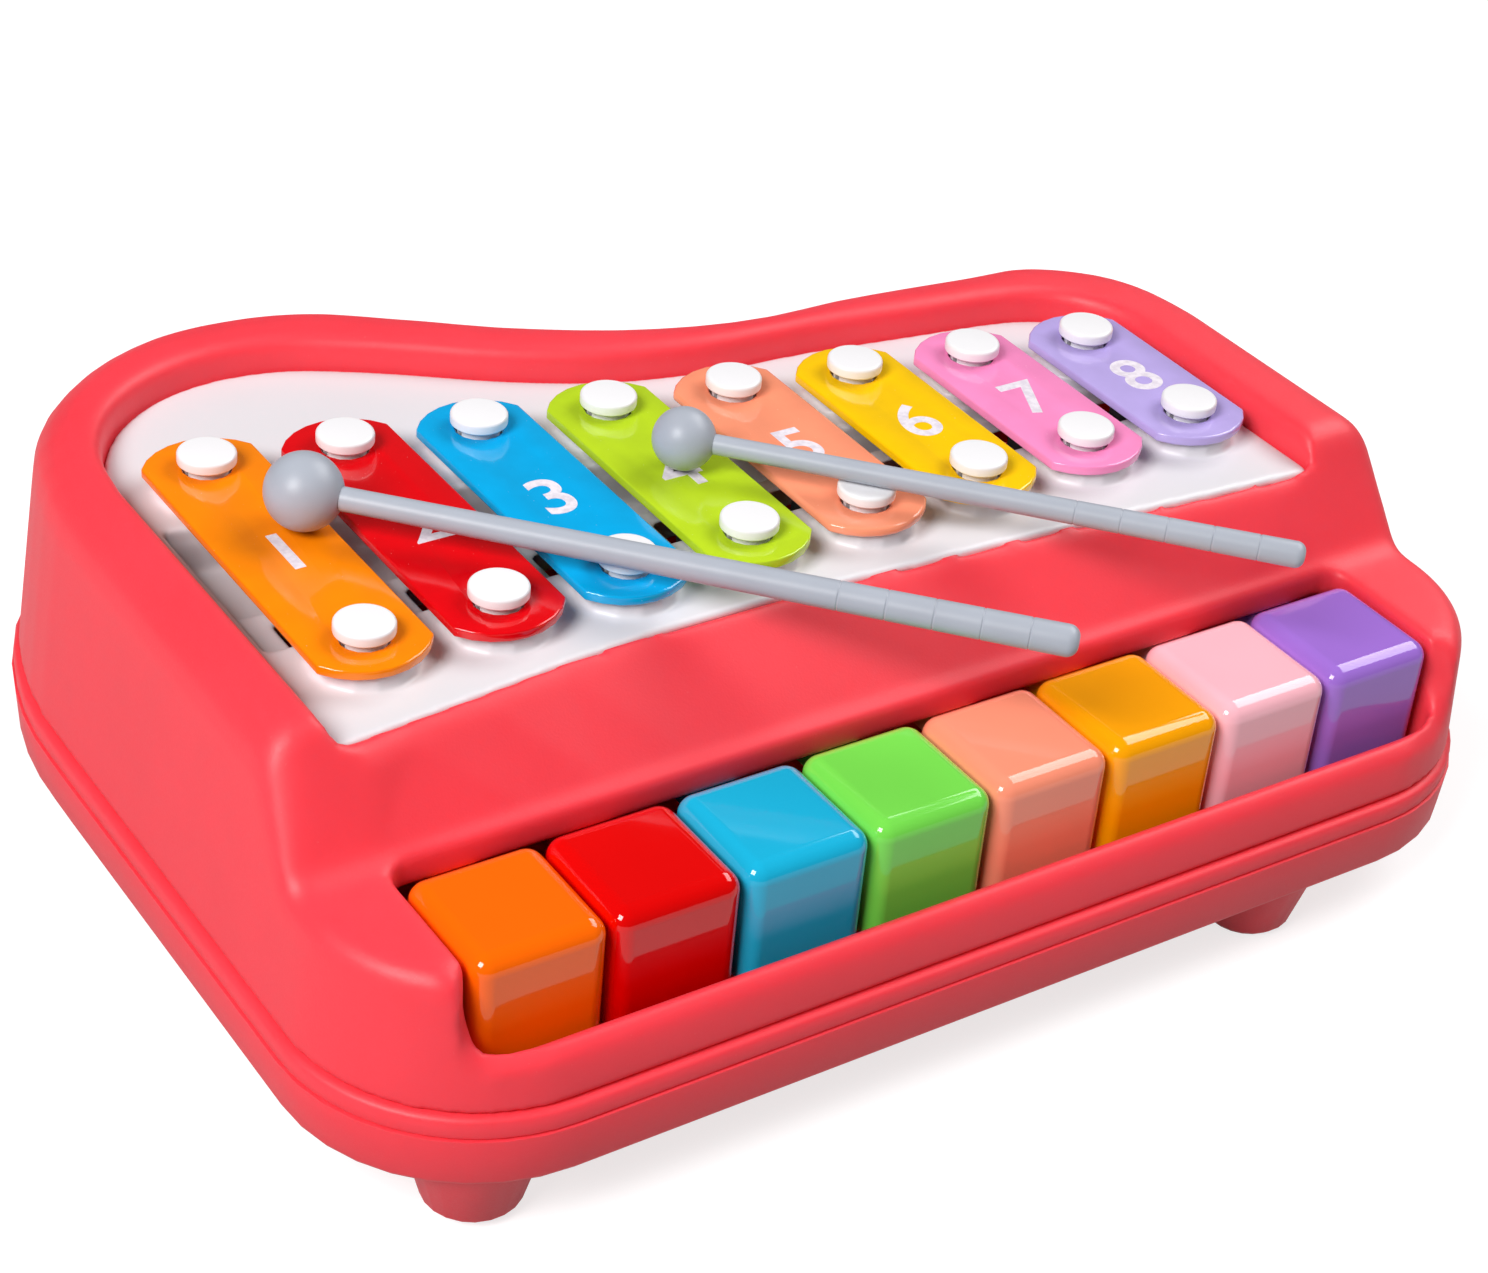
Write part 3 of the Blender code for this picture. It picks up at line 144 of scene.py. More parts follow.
def settle(piece):
    """Put a piece's place, turn and size into its mesh, so that its object sits at the origin."""
    select_only(piece)
    bpy.ops.object.transform_apply(location=True, rotation=True, scale=True)
    return piece


def newest(name):
    """Name the object that an operator has just added."""
    piece = bpy.context.active_object
    piece.name = name
    piece.data.name = name
    return piece


def apply_modifier(piece, kind, **settings):
    """Add a modifier with its settings and apply it."""
    select_only(piece)
    modifier = piece.modifiers.new(kind, kind)
    for setting, value in settings.items():
        setattr(modifier, setting, value)
    bpy.ops.object.modifier_apply(modifier=modifier.name)
    return piece


def smooth(piece, degrees=35):
    """Shade a piece smooth, except over edges sharper than an angle."""
    select_only(piece)
    bpy.ops.object.shade_smooth_by_angle(angle=radians(degrees))
    return piece


def merged_copy(node, name):
    """A copy of a construction solid with its loose triangles merged and its flat faces joined."""
    mesh = frame["nodes"][node].data.copy()
    piece = bpy.data.objects.new(name, mesh)
    bpy.context.scene.collection.objects.link(piece)
    mesh.name = name
    mesh.materials.clear()
    edit(piece, everything=True)
    bpy.ops.mesh.remove_doubles(threshold=MERGE_DISTANCE)
    bpy.ops.mesh.dissolve_limited(angle_limit=FLAT_ANGLE)
    done()
    return piece


def block(name, low, high):
    """A box between two corners."""
    clear_selection()
    middle = [(a + b) / 2 for a, b in zip(low, high)]
    bpy.ops.mesh.primitive_cube_add(size=1, location=middle)
    piece = newest(name)
    piece.scale = [b - a for a, b in zip(low, high)]
    return settle(piece)


def rod(name, radius, start, end, sides=ROD_SIDES, tip=None):
    """A round rod between two points, with another radius at its end if one is given."""
    start, end = Vector(start), Vector(end)
    clear_selection()
    bpy.ops.mesh.primitive_cone_add(vertices=sides, radius1=radius, radius2=tip or radius,
                                    depth=(end - start).length, location=(start + end) / 2)
    piece = newest(name)
    piece.rotation_mode = "QUATERNION"
    piece.rotation_quaternion = (end - start).to_track_quat("Z", "Y")
    return settle(piece)


def copied(piece, name, shift=(0.0, 0.0, 0.0)):
    """A copy of a piece with its own mesh, moved by a shift."""
    made = bpy.data.objects.new(name, piece.data.copy())
    bpy.context.scene.collection.objects.link(made)
    made.data.name = name
    made.location = shift
    return settle(made)


def discard(piece):
    """Throw away a tool or a pattern that has been used."""
    bpy.data.objects.remove(piece)


def combine(piece, tool, operation):
    """Join or cut a piece with a closed tool, and throw the tool away."""
    apply_modifier(piece, "BOOLEAN", operation=operation, solver="EXACT", object=tool)
    discard(tool)
    return piece


print("helpers ready")

# %% [markdown]
# ## Measures read from the frame
#
# The solids say where everything is, so places are read from their boxes. What their boxes don't
# give, such as a rounding, is a named size.

# %% Heights and places


def span(node):
    """The lower and the upper corner of a solid's box."""
    low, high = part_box(node)
    return low, high


key_low, key_high = span("key_1")
KEYS_LEFT = key_low.x
KEYS_FRONT = key_low.y
KEYS_RIGHT = span("key_%d" % NOTES)[1].x
BAR_TOP = span("tone_bar_1")[1].z
FOOT_HEIGHT = 15.0 * MM
BASE_HEIGHT = 10.8 * MM
BEAD_HEIGHT = 4.3 * MM
WALL_FOOT = FOOT_HEIGHT + BASE_HEIGHT + BEAD_HEIGHT
print("bar top", round(BAR_TOP / MM, 2), "wall foot", round(WALL_FOOT / MM, 2), "mm")

# %% [markdown]
# ## The camera
#
# The toy is seen from its front left, from above. A heading, a pitch and a small roll are turned
# into one rotation, and the lens is given by its focal length in pixels of the 1488 pixel wide
# picture.

# %% Camera
PICTURE_WIDTH = 1488
FOCAL_PIXELS = 3142.05
SENSOR_WIDTH = 36.0
CAMERA_PLACE = (-311.0 * MM, -433.3 * MM, 388.1 * MM)
CAMERA_HEADING = radians(-36.18)
CAMERA_PITCH = radians(90 - 33.41)
CAMERA_ROLL = radians(5.58)

lens = bpy.data.cameras.new("photo_camera")
lens.sensor_width = SENSOR_WIDTH
lens.lens = FOCAL_PIXELS / PICTURE_WIDTH * SENSOR_WIDTH
lens.clip_start = 10 * MM
camera = bpy.data.objects.new("photo_camera", lens)
bpy.context.scene.collection.objects.link(camera)
turn = Matrix.Rotation(CAMERA_HEADING, 4, "Z") @ Matrix.Rotation(CAMERA_PITCH, 4, "X")
tilt = Matrix.Rotation(CAMERA_ROLL, 4, "Z")
camera.matrix_world = Matrix.Translation(CAMERA_PLACE) @ turn @ tilt
bpy.context.scene.camera = camera
print("lens", round(lens.lens, 2), "mm")

# %% [markdown]
# ## Shader maths as plain expressions
#
# A material is a net of nodes. A small class wraps an output socket, so that `1 - mask * 0.3` adds
# the maths nodes by itself, and one method adds any other node with its settings and inputs.

# %% Materials as expressions


class Value:
    """An output socket that can be added, subtracted and multiplied."""

    def __init__(self, look, socket):
        self.look = look
        self.socket = socket

    def maths(self, operation, first, second):
        """Add a maths node to the look and wrap its result."""
        return self.look.node("ShaderNodeMath", {"operation": operation}, {0: first, 1: second})

    def __add__(self, other):
        return self.maths("ADD", self, other)

    def __sub__(self, other):
        return self.maths("SUBTRACT", self, other)

    def __rsub__(self, other):
        return self.maths("SUBTRACT", other, self)

    def __mul__(self, other):
        return self.maths("MULTIPLY", self, other)

    __radd__ = __add__
    __rmul__ = __mul__


class Look:
    """A material built round one Principled shader."""

    def __init__(self, name, **constants):
        self.material = bpy.data.materials.new(name)
        self.material.use_nodes = True
        self.tree = self.material.node_tree
        self.shader = self.tree.nodes["Principled BSDF"]
        for constant, value in constants.items():
            socket = constant.replace("_", " ").title().replace("Ior", "IOR")
            self.shader.inputs[socket].default_value = value
        self.place = self.node("ShaderNodeTexCoord", output="Object")

    def node(self, kind, settings=None, inputs=None, output=0):
        """Add a node, set its settings first, then its inputs from values or links."""
        made = self.tree.nodes.new(kind)
        for setting, value in (settings or {}).items():
            setattr(made, setting, value)
        for socket, value in (inputs or {}).items():
            if isinstance(value, Value):
                self.tree.links.new(value.socket, made.inputs[socket])
            else:
                made.inputs[socket].default_value = value
        return Value(self, made.outputs[output])

    def noise(self, size, detail=2.0, roughness=0.5, place=None):
        """Cloudy pattern between 0 and 1 whose patches have a real size."""
        inputs = {"Vector": place or self.place, "Scale": 1 / size, "Detail": detail,
                  "Roughness": roughness}
        return self.node("ShaderNodeTexNoise", None, inputs)

    def mix(self, share, first, second):
        """Colour between two colours."""
        inputs = {0: share, 6: first, 7: second}
        return self.node("ShaderNodeMix", {"data_type": "RGBA"}, inputs, output=2)

    def between(self, value, low, high):
        """Stretch a value so that low becomes 0 and high becomes 1, held inside those ends."""
        inputs = {"Value": value, "From Min": low, "From Max": high}
        return self.node("ShaderNodeMapRange", None, inputs)

    def bump(self, height, depth, under=None):
        """Turn a height pattern into dents of a real depth."""
        inputs = {"Height": height, "Distance": depth, "Strength": 1.0}
        if under is not None:
            inputs["Normal"] = under
        return self.node("ShaderNodeBump", None, inputs)

    def set(self, socket, value):
        """Lead a varying value into a socket of the shader."""
        self.tree.links.new(value.socket, self.shader.inputs[socket])


def linear(value):
    """Screen value from 0 to 1 as the linear value that shaders use."""
    return value / 12.92 if value <= 0.04045 else ((value + 0.055) / 1.055) ** 2.4


def colour(red, green, blue):
    """Screen colour from 0 to 255 as the linear colour that shaders use."""
    return (linear(red / 255), linear(green / 255), linear(blue / 255), 1.0)


def shade(tone, share):
    """A darker or lighter version of a colour."""
    return tuple(min(channel * share, 1.0) for channel in tone[:3]) + (1.0,)


def wear(piece, look, body, slot=None, nodes=()):
    """Give a piece its material and its body, and hide the solids it replaces. Its slot is not
    used.
    """
    piece.data.materials.clear()
    piece.data.materials.append(look.material)
    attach(piece, body)
    if nodes:
        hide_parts(*nodes)
    return piece


print("shader helpers ready")

# %% [markdown]
# ## Red moulded body
#
# The body is a matte plastic whose mould was spark eroded: a fine, even grain that scatters the
# light and leaves the broad edges with a soft bloom. Light sinks a little way into it, so gaps and
# thin edges glow a deeper red. Slow clouds in the colour stand for the uneven gloss of a large
# moulding, and a few pale specks for dust.

# %% Red plastic
RED = colour(251, 60, 74)
SPECK_TINT = colour(255, 150, 150)
GLOW_REACH = 4.0 * MM
GLOW_TINT = (1.0, 0.10, 0.12)
CLOUD_SIZE, SINK_SIZE = 28 * MM, 30 * MM
SPECK_SIZE, GRAIN_SIZE = 0.9 * MM, 0.45 * MM
SINK_DEPTH, GRAIN_DEPTH = 0.10 * MM, 0.03 * MM


def red_plastic():
    """Grained red plastic that lets a little light in."""
    look = Look("red_moulded_plastic", ior=1.50, subsurface_weight=0.4,
                subsurface_scale=GLOW_REACH, subsurface_radius=GLOW_TINT)
    clouds = look.noise(CLOUD_SIZE, detail=3.0)
    grain = look.noise(GRAIN_SIZE, detail=2.0, roughness=0.6)
    specks = look.between(look.noise(SPECK_SIZE, detail=1.0), 0.76, 0.80)
    base = look.mix(look.between(clouds, 0.3, 0.7), shade(RED, 0.95), shade(RED, 1.04))
    base = look.mix(specks * 0.07, base, SPECK_TINT)
    look.set("Base Color", base)
    look.set("Roughness", 0.38 + grain * 0.16 + clouds * 0.06)
    sink = look.bump(look.noise(SINK_SIZE, detail=1.0), SINK_DEPTH)
    look.set("Normal", look.bump(grain, GRAIN_DEPTH, sink))
    return look


red_look = red_plastic()
print("material", red_look.material.name)

# %% [markdown]
# ## The upper shell
#
# The real shell is one thick walled moulding whose edges all run into each other in soft rounds.
# The bead at its foot is crisper than that, so it is cut off first and kept apart.

# %% Split the shell from its bead
CUT_GAP = 0.02 * MM


def half_of(piece, height, keep_above):
    """Cut a piece level at a height, keep one side and close the cut."""
    edit(piece, everything=True)
    bpy.ops.mesh.bisect(plane_co=(0, 0, height), plane_no=(0, 0, 1), use_fill=True,
                        clear_inner=keep_above, clear_outer=not keep_above)
    done()
    return piece


shell = merged_copy("top_housing", "housing_shell")
bead = copied(shell, "housing_bead")
half_of(shell, WALL_FOOT + CUT_GAP, keep_above=True)
half_of(bead, WALL_FOOT, keep_above=False)
print("shell", len(shell.data.polygons), "bead", len(bead.data.polygons))

# %% [markdown]
# ## Rail roll and well wall
#
# The front rail ends in a full half-round, and the wall behind the keys comes down to just above
# their arms. A rod with tapered ends and a thin strip are joined to the shell for them, and the
# remesh will melt them into it. The rod's ends turn back a little, to follow the rounded corners.

# %% Join the roll and the strip
ROLL_RADIUS, ROLL_TIP = 3.0 * MM, 2.0 * MM
ROLL_Y, ROLL_Z = KEYS_FRONT - 6.2 * MM, WALL_FOOT + 7.2 * MM
ROLL_TAPER = 10 * MM
ROLL_TURN = 1.6 * MM
STRIP_LOW, STRIP_HIGH = WALL_FOOT + 20.3 * MM, WALL_FOOT + 22.9 * MM
STRIP_FRONT, STRIP_BACK = KEYS_FRONT + 30.85 * MM, KEYS_FRONT + 32.7 * MM

for side, end in ((-1, KEYS_LEFT), (1, KEYS_RIGHT)):
    bend = (end - side * ROLL_TAPER, ROLL_Y, ROLL_Z)
    roll = rod("rail_roll", ROLL_RADIUS, (0, ROLL_Y, ROLL_Z), bend, FINE_SIDES)
    combine(shell, roll, "UNION")
    turned_back = (end, ROLL_Y + ROLL_TURN, ROLL_Z)
    roll_end = rod("rail_roll_end", ROLL_RADIUS, bend, turned_back, FINE_SIDES, ROLL_TIP)
    combine(shell, roll_end, "UNION")
strip = block("wall_strip", (KEYS_LEFT, STRIP_FRONT, STRIP_LOW),
              (KEYS_RIGHT, STRIP_BACK, STRIP_HIGH))
combine(shell, strip, "UNION")
print("shell with roll and strip", len(shell.data.polygons))

# %% [markdown]
# ## Soft rounds all over
#
# Bevelling each edge of the solid one by one would leave a patchwork. So the shell is remeshed into
# fine even quads and relaxed, which rounds every edge at once, and then thinned again where it is
# flat.

# %% Remesh and relax the shell
SHELL_VOXEL = 0.85 * MM
SHELL_ROUNDS = 14
SHELL_FACES = 180000


def moulded(piece, voxel, rounds, faces):
    """Remesh a piece, relax it and thin it to a number of triangles."""
    apply_modifier(piece, "REMESH", mode="VOXEL", voxel_size=voxel)
    apply_modifier(piece, "SMOOTH", factor=0.5, iterations=rounds)
    apply_modifier(piece, "TRIANGULATE")
    share = faces / len(piece.data.polygons)
    if share < 1:
        apply_modifier(piece, "DECIMATE", ratio=share)
    select_only(piece)
    bpy.ops.object.shade_smooth()
    return piece


moulded(shell, SHELL_VOXEL, SHELL_ROUNDS, SHELL_FACES)
wear(shell, red_look, "root", "housing_red", ["top_housing"])
print("shell triangles", len(shell.data.polygons))

# %% [markdown]
# ## Bead and base
#
# The bead is the band along the foot of the shell, and the base below it carries the four feet.
# Both keep the straight run of the mould, so only their sharp edges are broken with a narrow bevel.
# The bead is drawn in by a hair, so the base's edge stands out below it and catches the light as a
# thin line.

# %% Bead and base
BEAD_EDGE = 0.2 * MM
BEAD_INSET = 0.4 * MM
BASE_EDGE = 0.35 * MM
SHARP_ANGLE = radians(38)
HALF_LENGTH, HALF_DEPTH = 131.0 * MM, 102.5 * MM


def broken_edges(piece, width, steps=3):
    """Round all the sharp edges of a piece by a small width and shade it smooth."""
    apply_modifier(piece, "BEVEL", width=width, segments=steps, limit_method="ANGLE",
                   angle_limit=SHARP_ANGLE, use_clamp_overlap=True)
    return smooth(piece)


edit(bead, everything=True)
drawn_in = (1 - BEAD_INSET / HALF_LENGTH, 1 - BEAD_INSET / HALF_DEPTH, 1)
bpy.ops.transform.resize(value=drawn_in, center_override=(0, 0, 0))
done()
wear(broken_edges(bead, BEAD_EDGE), red_look, "root", "housing_red", ["top_housing"])
base = broken_edges(merged_copy("bottom_housing", "housing_base"), BASE_EDGE)
wear(base, red_look, "root", "housing_red", ["bottom_housing"])
print("bead", len(bead.data.polygons), "base", len(base.data.polygons))

# %% [markdown]
# ## White tray
#
# The tray is satin white plastic. Its pedestals and its trough have small moulded rounds, so it is
# remeshed and relaxed like the shell, only more finely. The studs are a glossier white.

# %% White plastic and the tray
TRAY_WHITE = colour(224, 221, 225)
STUD_WHITE = colour(243, 241, 243)
TRAY_VOXEL = 0.6 * MM
TRAY_ROUNDS = 10
TRAY_FACES = 160000
TRAY_ROUGHNESS, STUD_ROUGHNESS = 0.30, 0.24


def white_plastic(name, paint, roughness):
    """Fine grained white plastic, the glossier the lower its roughness."""
    look = Look(name, ior=1.48)
    clouds = look.noise(20 * MM, detail=2.0)
    grain = look.noise(0.6 * MM, detail=2.0)
    look.set("Base Color", look.mix(clouds, shade(paint, 0.97), paint))
    look.set("Roughness", roughness + grain * 0.08 + clouds * 0.05)
    look.set("Normal", look.bump(grain, 0.012 * MM))
    return look


tray_look = white_plastic("white_satin_plastic", TRAY_WHITE, TRAY_ROUGHNESS)
stud_look = white_plastic("white_stud_plastic", STUD_WHITE, STUD_ROUGHNESS)
tray = merged_copy("sound_tray", "tray_moulding")
moulded(tray, TRAY_VOXEL, TRAY_ROUNDS, TRAY_FACES)
wear(tray, tray_look, "root", "tray_white", ["sound_tray"])
print("tray", len(tray.data.polygons))

# %% [markdown]
# ## Painted tone bars
#
# Each bar is a stamped steel plate with a thick baked enamel. The press rolls the upper edge, so a
# bright line runs round each bar. The plate is a copy of its solid with that rolled edge.

# %% Enamel
ROLLED_EDGE = 0.7 * MM
DUST_TINT = colour(255, 250, 245)
BAR_PAINTS = {
    "orange": colour(255, 136, 0), "red": colour(222, 0, 12), "blue": colour(0, 168, 228),
    "lime": colour(186, 216, 34), "peach": colour(252, 152, 116), "yellow": colour(252, 200, 0),
    "pink": colour(252, 144, 198), "lavender": colour(186, 168, 228)}


def enamel(name, paint):
    """Glossy baked paint with a slight flow, fine peel and a few specks of dust."""
    look = Look("bar_enamel_" + name, roughness=0.16, coat_roughness=0.03, specular_ior_level=0.35)
    flow = look.noise(7 * MM, detail=2.0)
    peel = look.noise(1.6 * MM, detail=1.0)
    dust = look.between(look.noise(0.35 * MM, detail=0.0), 0.86, 0.89)
    base = look.mix(look.between(flow, 0.35, 0.65), shade(paint, 0.97), shade(paint, 1.03))
    look.set("Base Color", look.mix(dust * 0.3, base, DUST_TINT))
    look.set("Roughness", 0.12 + peel * 0.05 + dust * 0.3)
    look.set("Coat Weight", 0.50 - dust * 0.4)
    look.set("Normal", look.bump(peel, 0.006 * MM, look.bump(flow, 0.03 * MM)))
    return look


for number, paint in enumerate(BAR_PAINTS, 1):
    node = "tone_bar_%d" % number
    bar = broken_edges(merged_copy(node, "bar_plate_%d" % number), ROLLED_EDGE, steps=4)
    wear(bar, enamel(paint, BAR_PAINTS[paint]), "root", "bar_" + paint, [node])
print("bars painted:", ", ".join(BAR_PAINTS))

# %% [markdown]
# ## Plain numbers on the bars
#
# A child plays by number, so each bar is printed with a plain figure. Text starts as a curve. It is
# spread to bold strokes, gets a hair's thickness, becomes a mesh, and is laid on the bar.

# %% Printed numbers
FIGURE_HEIGHT = 12.5 * MM
FIGURE_SHARE = 0.47
PRINT_THICKNESS = 0.03 * MM
PRINT_SPREAD = 0.25 * MM
FONT_CAP_SHARE = 0.71
THIN_INK, FULL_INK = colour(222, 212, 224), colour(240, 232, 240)


def print_ink():
    """Pale ink that lies a little unevenly."""
    look = Look("pale_print", roughness=0.35)
    blotch = look.noise(1.2 * MM, detail=3.0)
    look.set("Base Color", look.mix(look.between(blotch, 0.35, 0.6), THIN_INK, FULL_INK))
    look.set("Roughness", 0.28 + blotch * 0.2)
    look.set("Normal", look.bump(look.noise(0.3 * MM), 0.01 * MM))
    return look


def stud_centre(row, number):
    """Middle of a stud's solid."""
    low, high = span("stud_%s_%d" % (row, number))
    return (low + high) / 2


ink = print_ink()
for number in range(1, NOTES + 1):
    front, rear = stud_centre("front", number), stud_centre("rear", number)
    place = front.lerp(rear, FIGURE_SHARE)
    clear_selection()
    bpy.ops.object.text_add(location=(place.x, place.y, BAR_TOP + PRINT_THICKNESS))
    figure = newest("figure_%d" % number)
    figure.data.body = str(number)
    figure.data.align_x = "CENTER"
    figure.data.align_y = "CENTER"
    figure.data.size = FIGURE_HEIGHT / FONT_CAP_SHARE
    figure.data.extrude = PRINT_THICKNESS
    figure.data.offset = PRINT_SPREAD
    select_only(figure)
    bpy.ops.object.convert(target="MESH")
    settle(figure)
    wear(figure, ink, "root")
print("figures", NOTES)

# %% [markdown]
# ## Studs
#
# A stud is a round white cap on a split neck that snaps into the tray. One is drawn up from a
# cylinder, its rim is rounded above and below, and the slit is cut. All sixteen are copies of that
# pattern.

# %% Model one stud
HEAD_THICKNESS = 2.3 * MM
HEAD_ROUND = 0.65 * MM
NECK_DIAMETER = 8.4 * MM
SLIT_WIDTH = 1.3 * MM
SLIT_DEPTH = 12.0 * MM
STUD_SIDES = 64
RIM_NEAR = 0.1 * MM


def stud_pattern(low, high):
    """A stud in the place of the solid with these corners."""
    x, y = (low.x + high.x) / 2, (low.y + high.y) / 2
    head = high.x - low.x
    under = high.z - HEAD_THICKNESS
    clear_selection()
    bpy.ops.mesh.primitive_cylinder_add(vertices=STUD_SIDES, radius=NECK_DIAMETER / 2,
                                        depth=under - low.z, location=(x, y, (under + low.z) / 2))
    piece = settle(newest("stud_pattern"))
    edit(piece)
    pick("faces", lambda face: face.normal.z > 0.9)
    bpy.ops.mesh.extrude_region_move()
    grow = head / NECK_DIAMETER
    bpy.ops.transform.resize(value=(grow, grow, 1), center_override=(x, y, under))
    bpy.ops.mesh.extrude_region_move(TRANSFORM_OT_translate={"value": (0, 0, HEAD_THICKNESS)})
    done()
    rim = head / 2 - RIM_NEAR

    def on_rim(edge):
        return min(Vector((v.co.x - x, v.co.y - y)).length for v in edge.verts) > rim

    def upper_rim(edge):
        return on_rim(edge) and lowest(edge) > high.z - NEAR

    def lower_rim(edge):
        return on_rim(edge) and highest(edge) < under + NEAR

    round_edges(piece, upper_rim, HEAD_ROUND, steps=6)
    round_edges(piece, lower_rim, HEAD_ROUND / 2, steps=4)
    clear_selection()
    bpy.ops.mesh.primitive_cube_add(size=1, location=(x, y, under - SLIT_DEPTH / 2))
    slit = newest("slit")
    slit.scale = (head, SLIT_WIDTH, SLIT_DEPTH)
    settle(slit)
    return smooth(combine(piece, slit, "DIFFERENCE"), degrees=30)


pattern_low, pattern_high = span("stud_front_1")
stud_one = stud_pattern(pattern_low, pattern_high)
for row in ("front", "rear"):
    for number in range(1, NOTES + 1):
        node = "stud_%s_%d" % (row, number)
        shift = span(node)[0] - pattern_low
        cap = copied(stud_one, "cap_%s_%d" % (row, number), shift)
        wear(cap, stud_look, "root", "tray_white", [node])
discard(stud_one)
print("studs", 2 * NOTES)

# %% [markdown]
# ## Glossy keys
#
# A key cap is a hollow polished block with fully rounded upper edges. It is a cube whose upper and
# upright edges are rounded in many small steps, because a mirror gloss shows every flat. Its arm,
# boss and hammer post are joined on behind, out of sight. Last, the shading of the large flats is
# given the most weight, so that no streak runs across them.

# %% Model one key
KEY_DEPTH = 27.0 * MM
KEY_HEIGHT = 24.3 * MM
KEY_ROUND = 3.7 * MM
KEY_STEPS = 9
KEY_WALL = 2.2 * MM
ARM_WIDTH = 9.5 * MM
ARM_HEIGHT = 4.4 * MM
ARM_DROP = 1.4 * MM
BOSS_RADIUS = 4.6 * MM
BOSS_PROUD = 0.3 * MM
POST_RADIUS = 1.8 * MM
POST_SINK = 1.0 * MM
BORE_RADIUS = 2.3 * MM


def key_pattern(low, high, axis, hammer_y):
    """Cap, arm, boss and post of the key whose solid has these corners."""
    ledge = low.z + KEY_HEIGHT
    back = low.y + KEY_DEPTH
    cap = block("key_pattern", low, (high.x, back, ledge))
    round_edges(cap, lambda edge: highest(edge) > ledge - NEAR, KEY_ROUND, KEY_STEPS)
    hollow(cap, KEY_WALL, KEY_HEIGHT - KEY_WALL)
    x = (low.x + high.x) / 2
    left, right = x - ARM_WIDTH / 2, x + ARM_WIDTH / 2
    arm_top = axis.z - ARM_DROP
    arm = block("arm", (left, back - KEY_WALL / 2, arm_top - ARM_HEIGHT), (right, high.y, arm_top))
    boss = rod("boss", BOSS_RADIUS, (left - BOSS_PROUD, axis.y, axis.z),
               (right + BOSS_PROUD, axis.y, axis.z))
    combine(arm, boss, "UNION")
    post = rod("post", POST_RADIUS, (x, hammer_y, arm_top - POST_SINK), (x, hammer_y, high.z))
    combine(arm, post, "UNION")
    combine(cap, arm, "UNION")
    bore = rod("bore", BORE_RADIUS, (low.x, axis.y, axis.z), (high.x, axis.y, axis.z))
    combine(cap, bore, "DIFFERENCE")
    smooth(cap, degrees=32)
    return apply_modifier(cap, "WEIGHTED_NORMAL", mode="FACE_AREA", weight=100, keep_sharp=True)


hinges = {joint["name"]: joint for joint in frame["joints"]}
key_axis = Vector(hinges["key_1_press"]["pos_m"])
hammer_low, hammer_high = span("hammer_1")
hammer_y = (hammer_low.y + hammer_high.y) / 2
key_one = key_pattern(key_low, key_high, key_axis, hammer_y)
print("key pattern faces", len(key_one.data.polygons), "axis in mm:", in_mm([key_axis]))

# %% [markdown]
# ## Key paint and the eight keys
#
# Each key is moulded in its own colour and polished. A thin clear coat over a smooth ground gives
# sharp reflections, and two very shallow waves bend them a little. The pattern is copied to each
# key's place and rides on that key's lever.

# %% Key paint
KEY_PAINTS = {
    "orange": colour(255, 104, 0), "red": colour(220, 0, 0), "blue": colour(24, 176, 216),
    "green": colour(120, 222, 80), "peach": colour(255, 148, 118), "amber": colour(255, 164, 0),
    "pink": colour(255, 186, 198), "purple": colour(160, 112, 212)}


def gloss(name, paint):
    """Polished plastic with a clear coat."""
    look = Look("key_gloss_" + name, specular_ior_level=0.25, coat_roughness=0.03)
    flow = look.noise(16 * MM, detail=1.0)
    peel = look.noise(2.4 * MM, detail=1.0)
    look.set("Base Color", look.mix(flow, shade(paint, 0.96), shade(paint, 1.03)))
    look.set("Roughness", 0.08 + peel * 0.03)
    look.set("Coat Weight", 0.55 + flow * 0.1)
    look.set("Normal", look.bump(peel, 0.0006 * MM, look.bump(flow, 0.003 * MM)))
    return look


for number, paint in enumerate(KEY_PAINTS, 1):
    node = "key_%d" % number
    shift = span(node)[0] - key_low
    key = copied(key_one, "key_cap_%d" % number, shift)
    wear(key, gloss(paint, KEY_PAINTS[paint]), "key_%d_lever" % number, "key_" + paint, [node])
discard(key_one)
print("keys", len(KEY_PAINTS))

# %% [markdown]
# ## Hammers, shaft and screws
#
# These parts work out of sight. Each rubber hammer is a short plug with a rounded head and a socket
# for its post, the shaft is drawn steel with fine lines along it, and the screws are copies of
# their solids.

# %% Rubber and steel
HAMMER_SIDES, SHAFT_SIDES = 40, 40
HAMMER_ROUND = 0.8 * MM
HAMMER_SOCKET = 3.3 * MM
HAMMER_WALL = 0.9 * MM
SHAFT_EDGE = 0.4 * MM
SCREW_EDGE = 0.25 * MM
SCREWS = 4
DRAWN_ALONG_X = (0.02, 1.0, 1.0)


def rubber():
    """Dull black rubber."""
    look = Look("black_rubber", specular_ior_level=0.3)
    grain = look.noise(0.5 * MM, detail=3.0)
    look.set("Base Color", look.mix(grain, colour(34, 34, 36), colour(52, 51, 52)))
    look.set("Roughness", 0.55 + grain * 0.2)
    look.set("Normal", look.bump(grain, 0.02 * MM))
    return look


def drawn_steel():
    """Bright steel with fine lines along its length."""
    look = Look("drawn_steel", metallic=1.0)
    stretch = look.node("ShaderNodeMapping", None, {"Vector": look.place, "Scale": DRAWN_ALONG_X})
    lines = look.noise(0.25 * MM, detail=3.0, place=stretch)
    look.set("Base Color", look.mix(lines, colour(176, 178, 182), colour(208, 209, 212)))
    look.set("Roughness", 0.20 + lines * 0.18)
    look.set("Normal", look.bump(lines, 0.004 * MM))
    return look


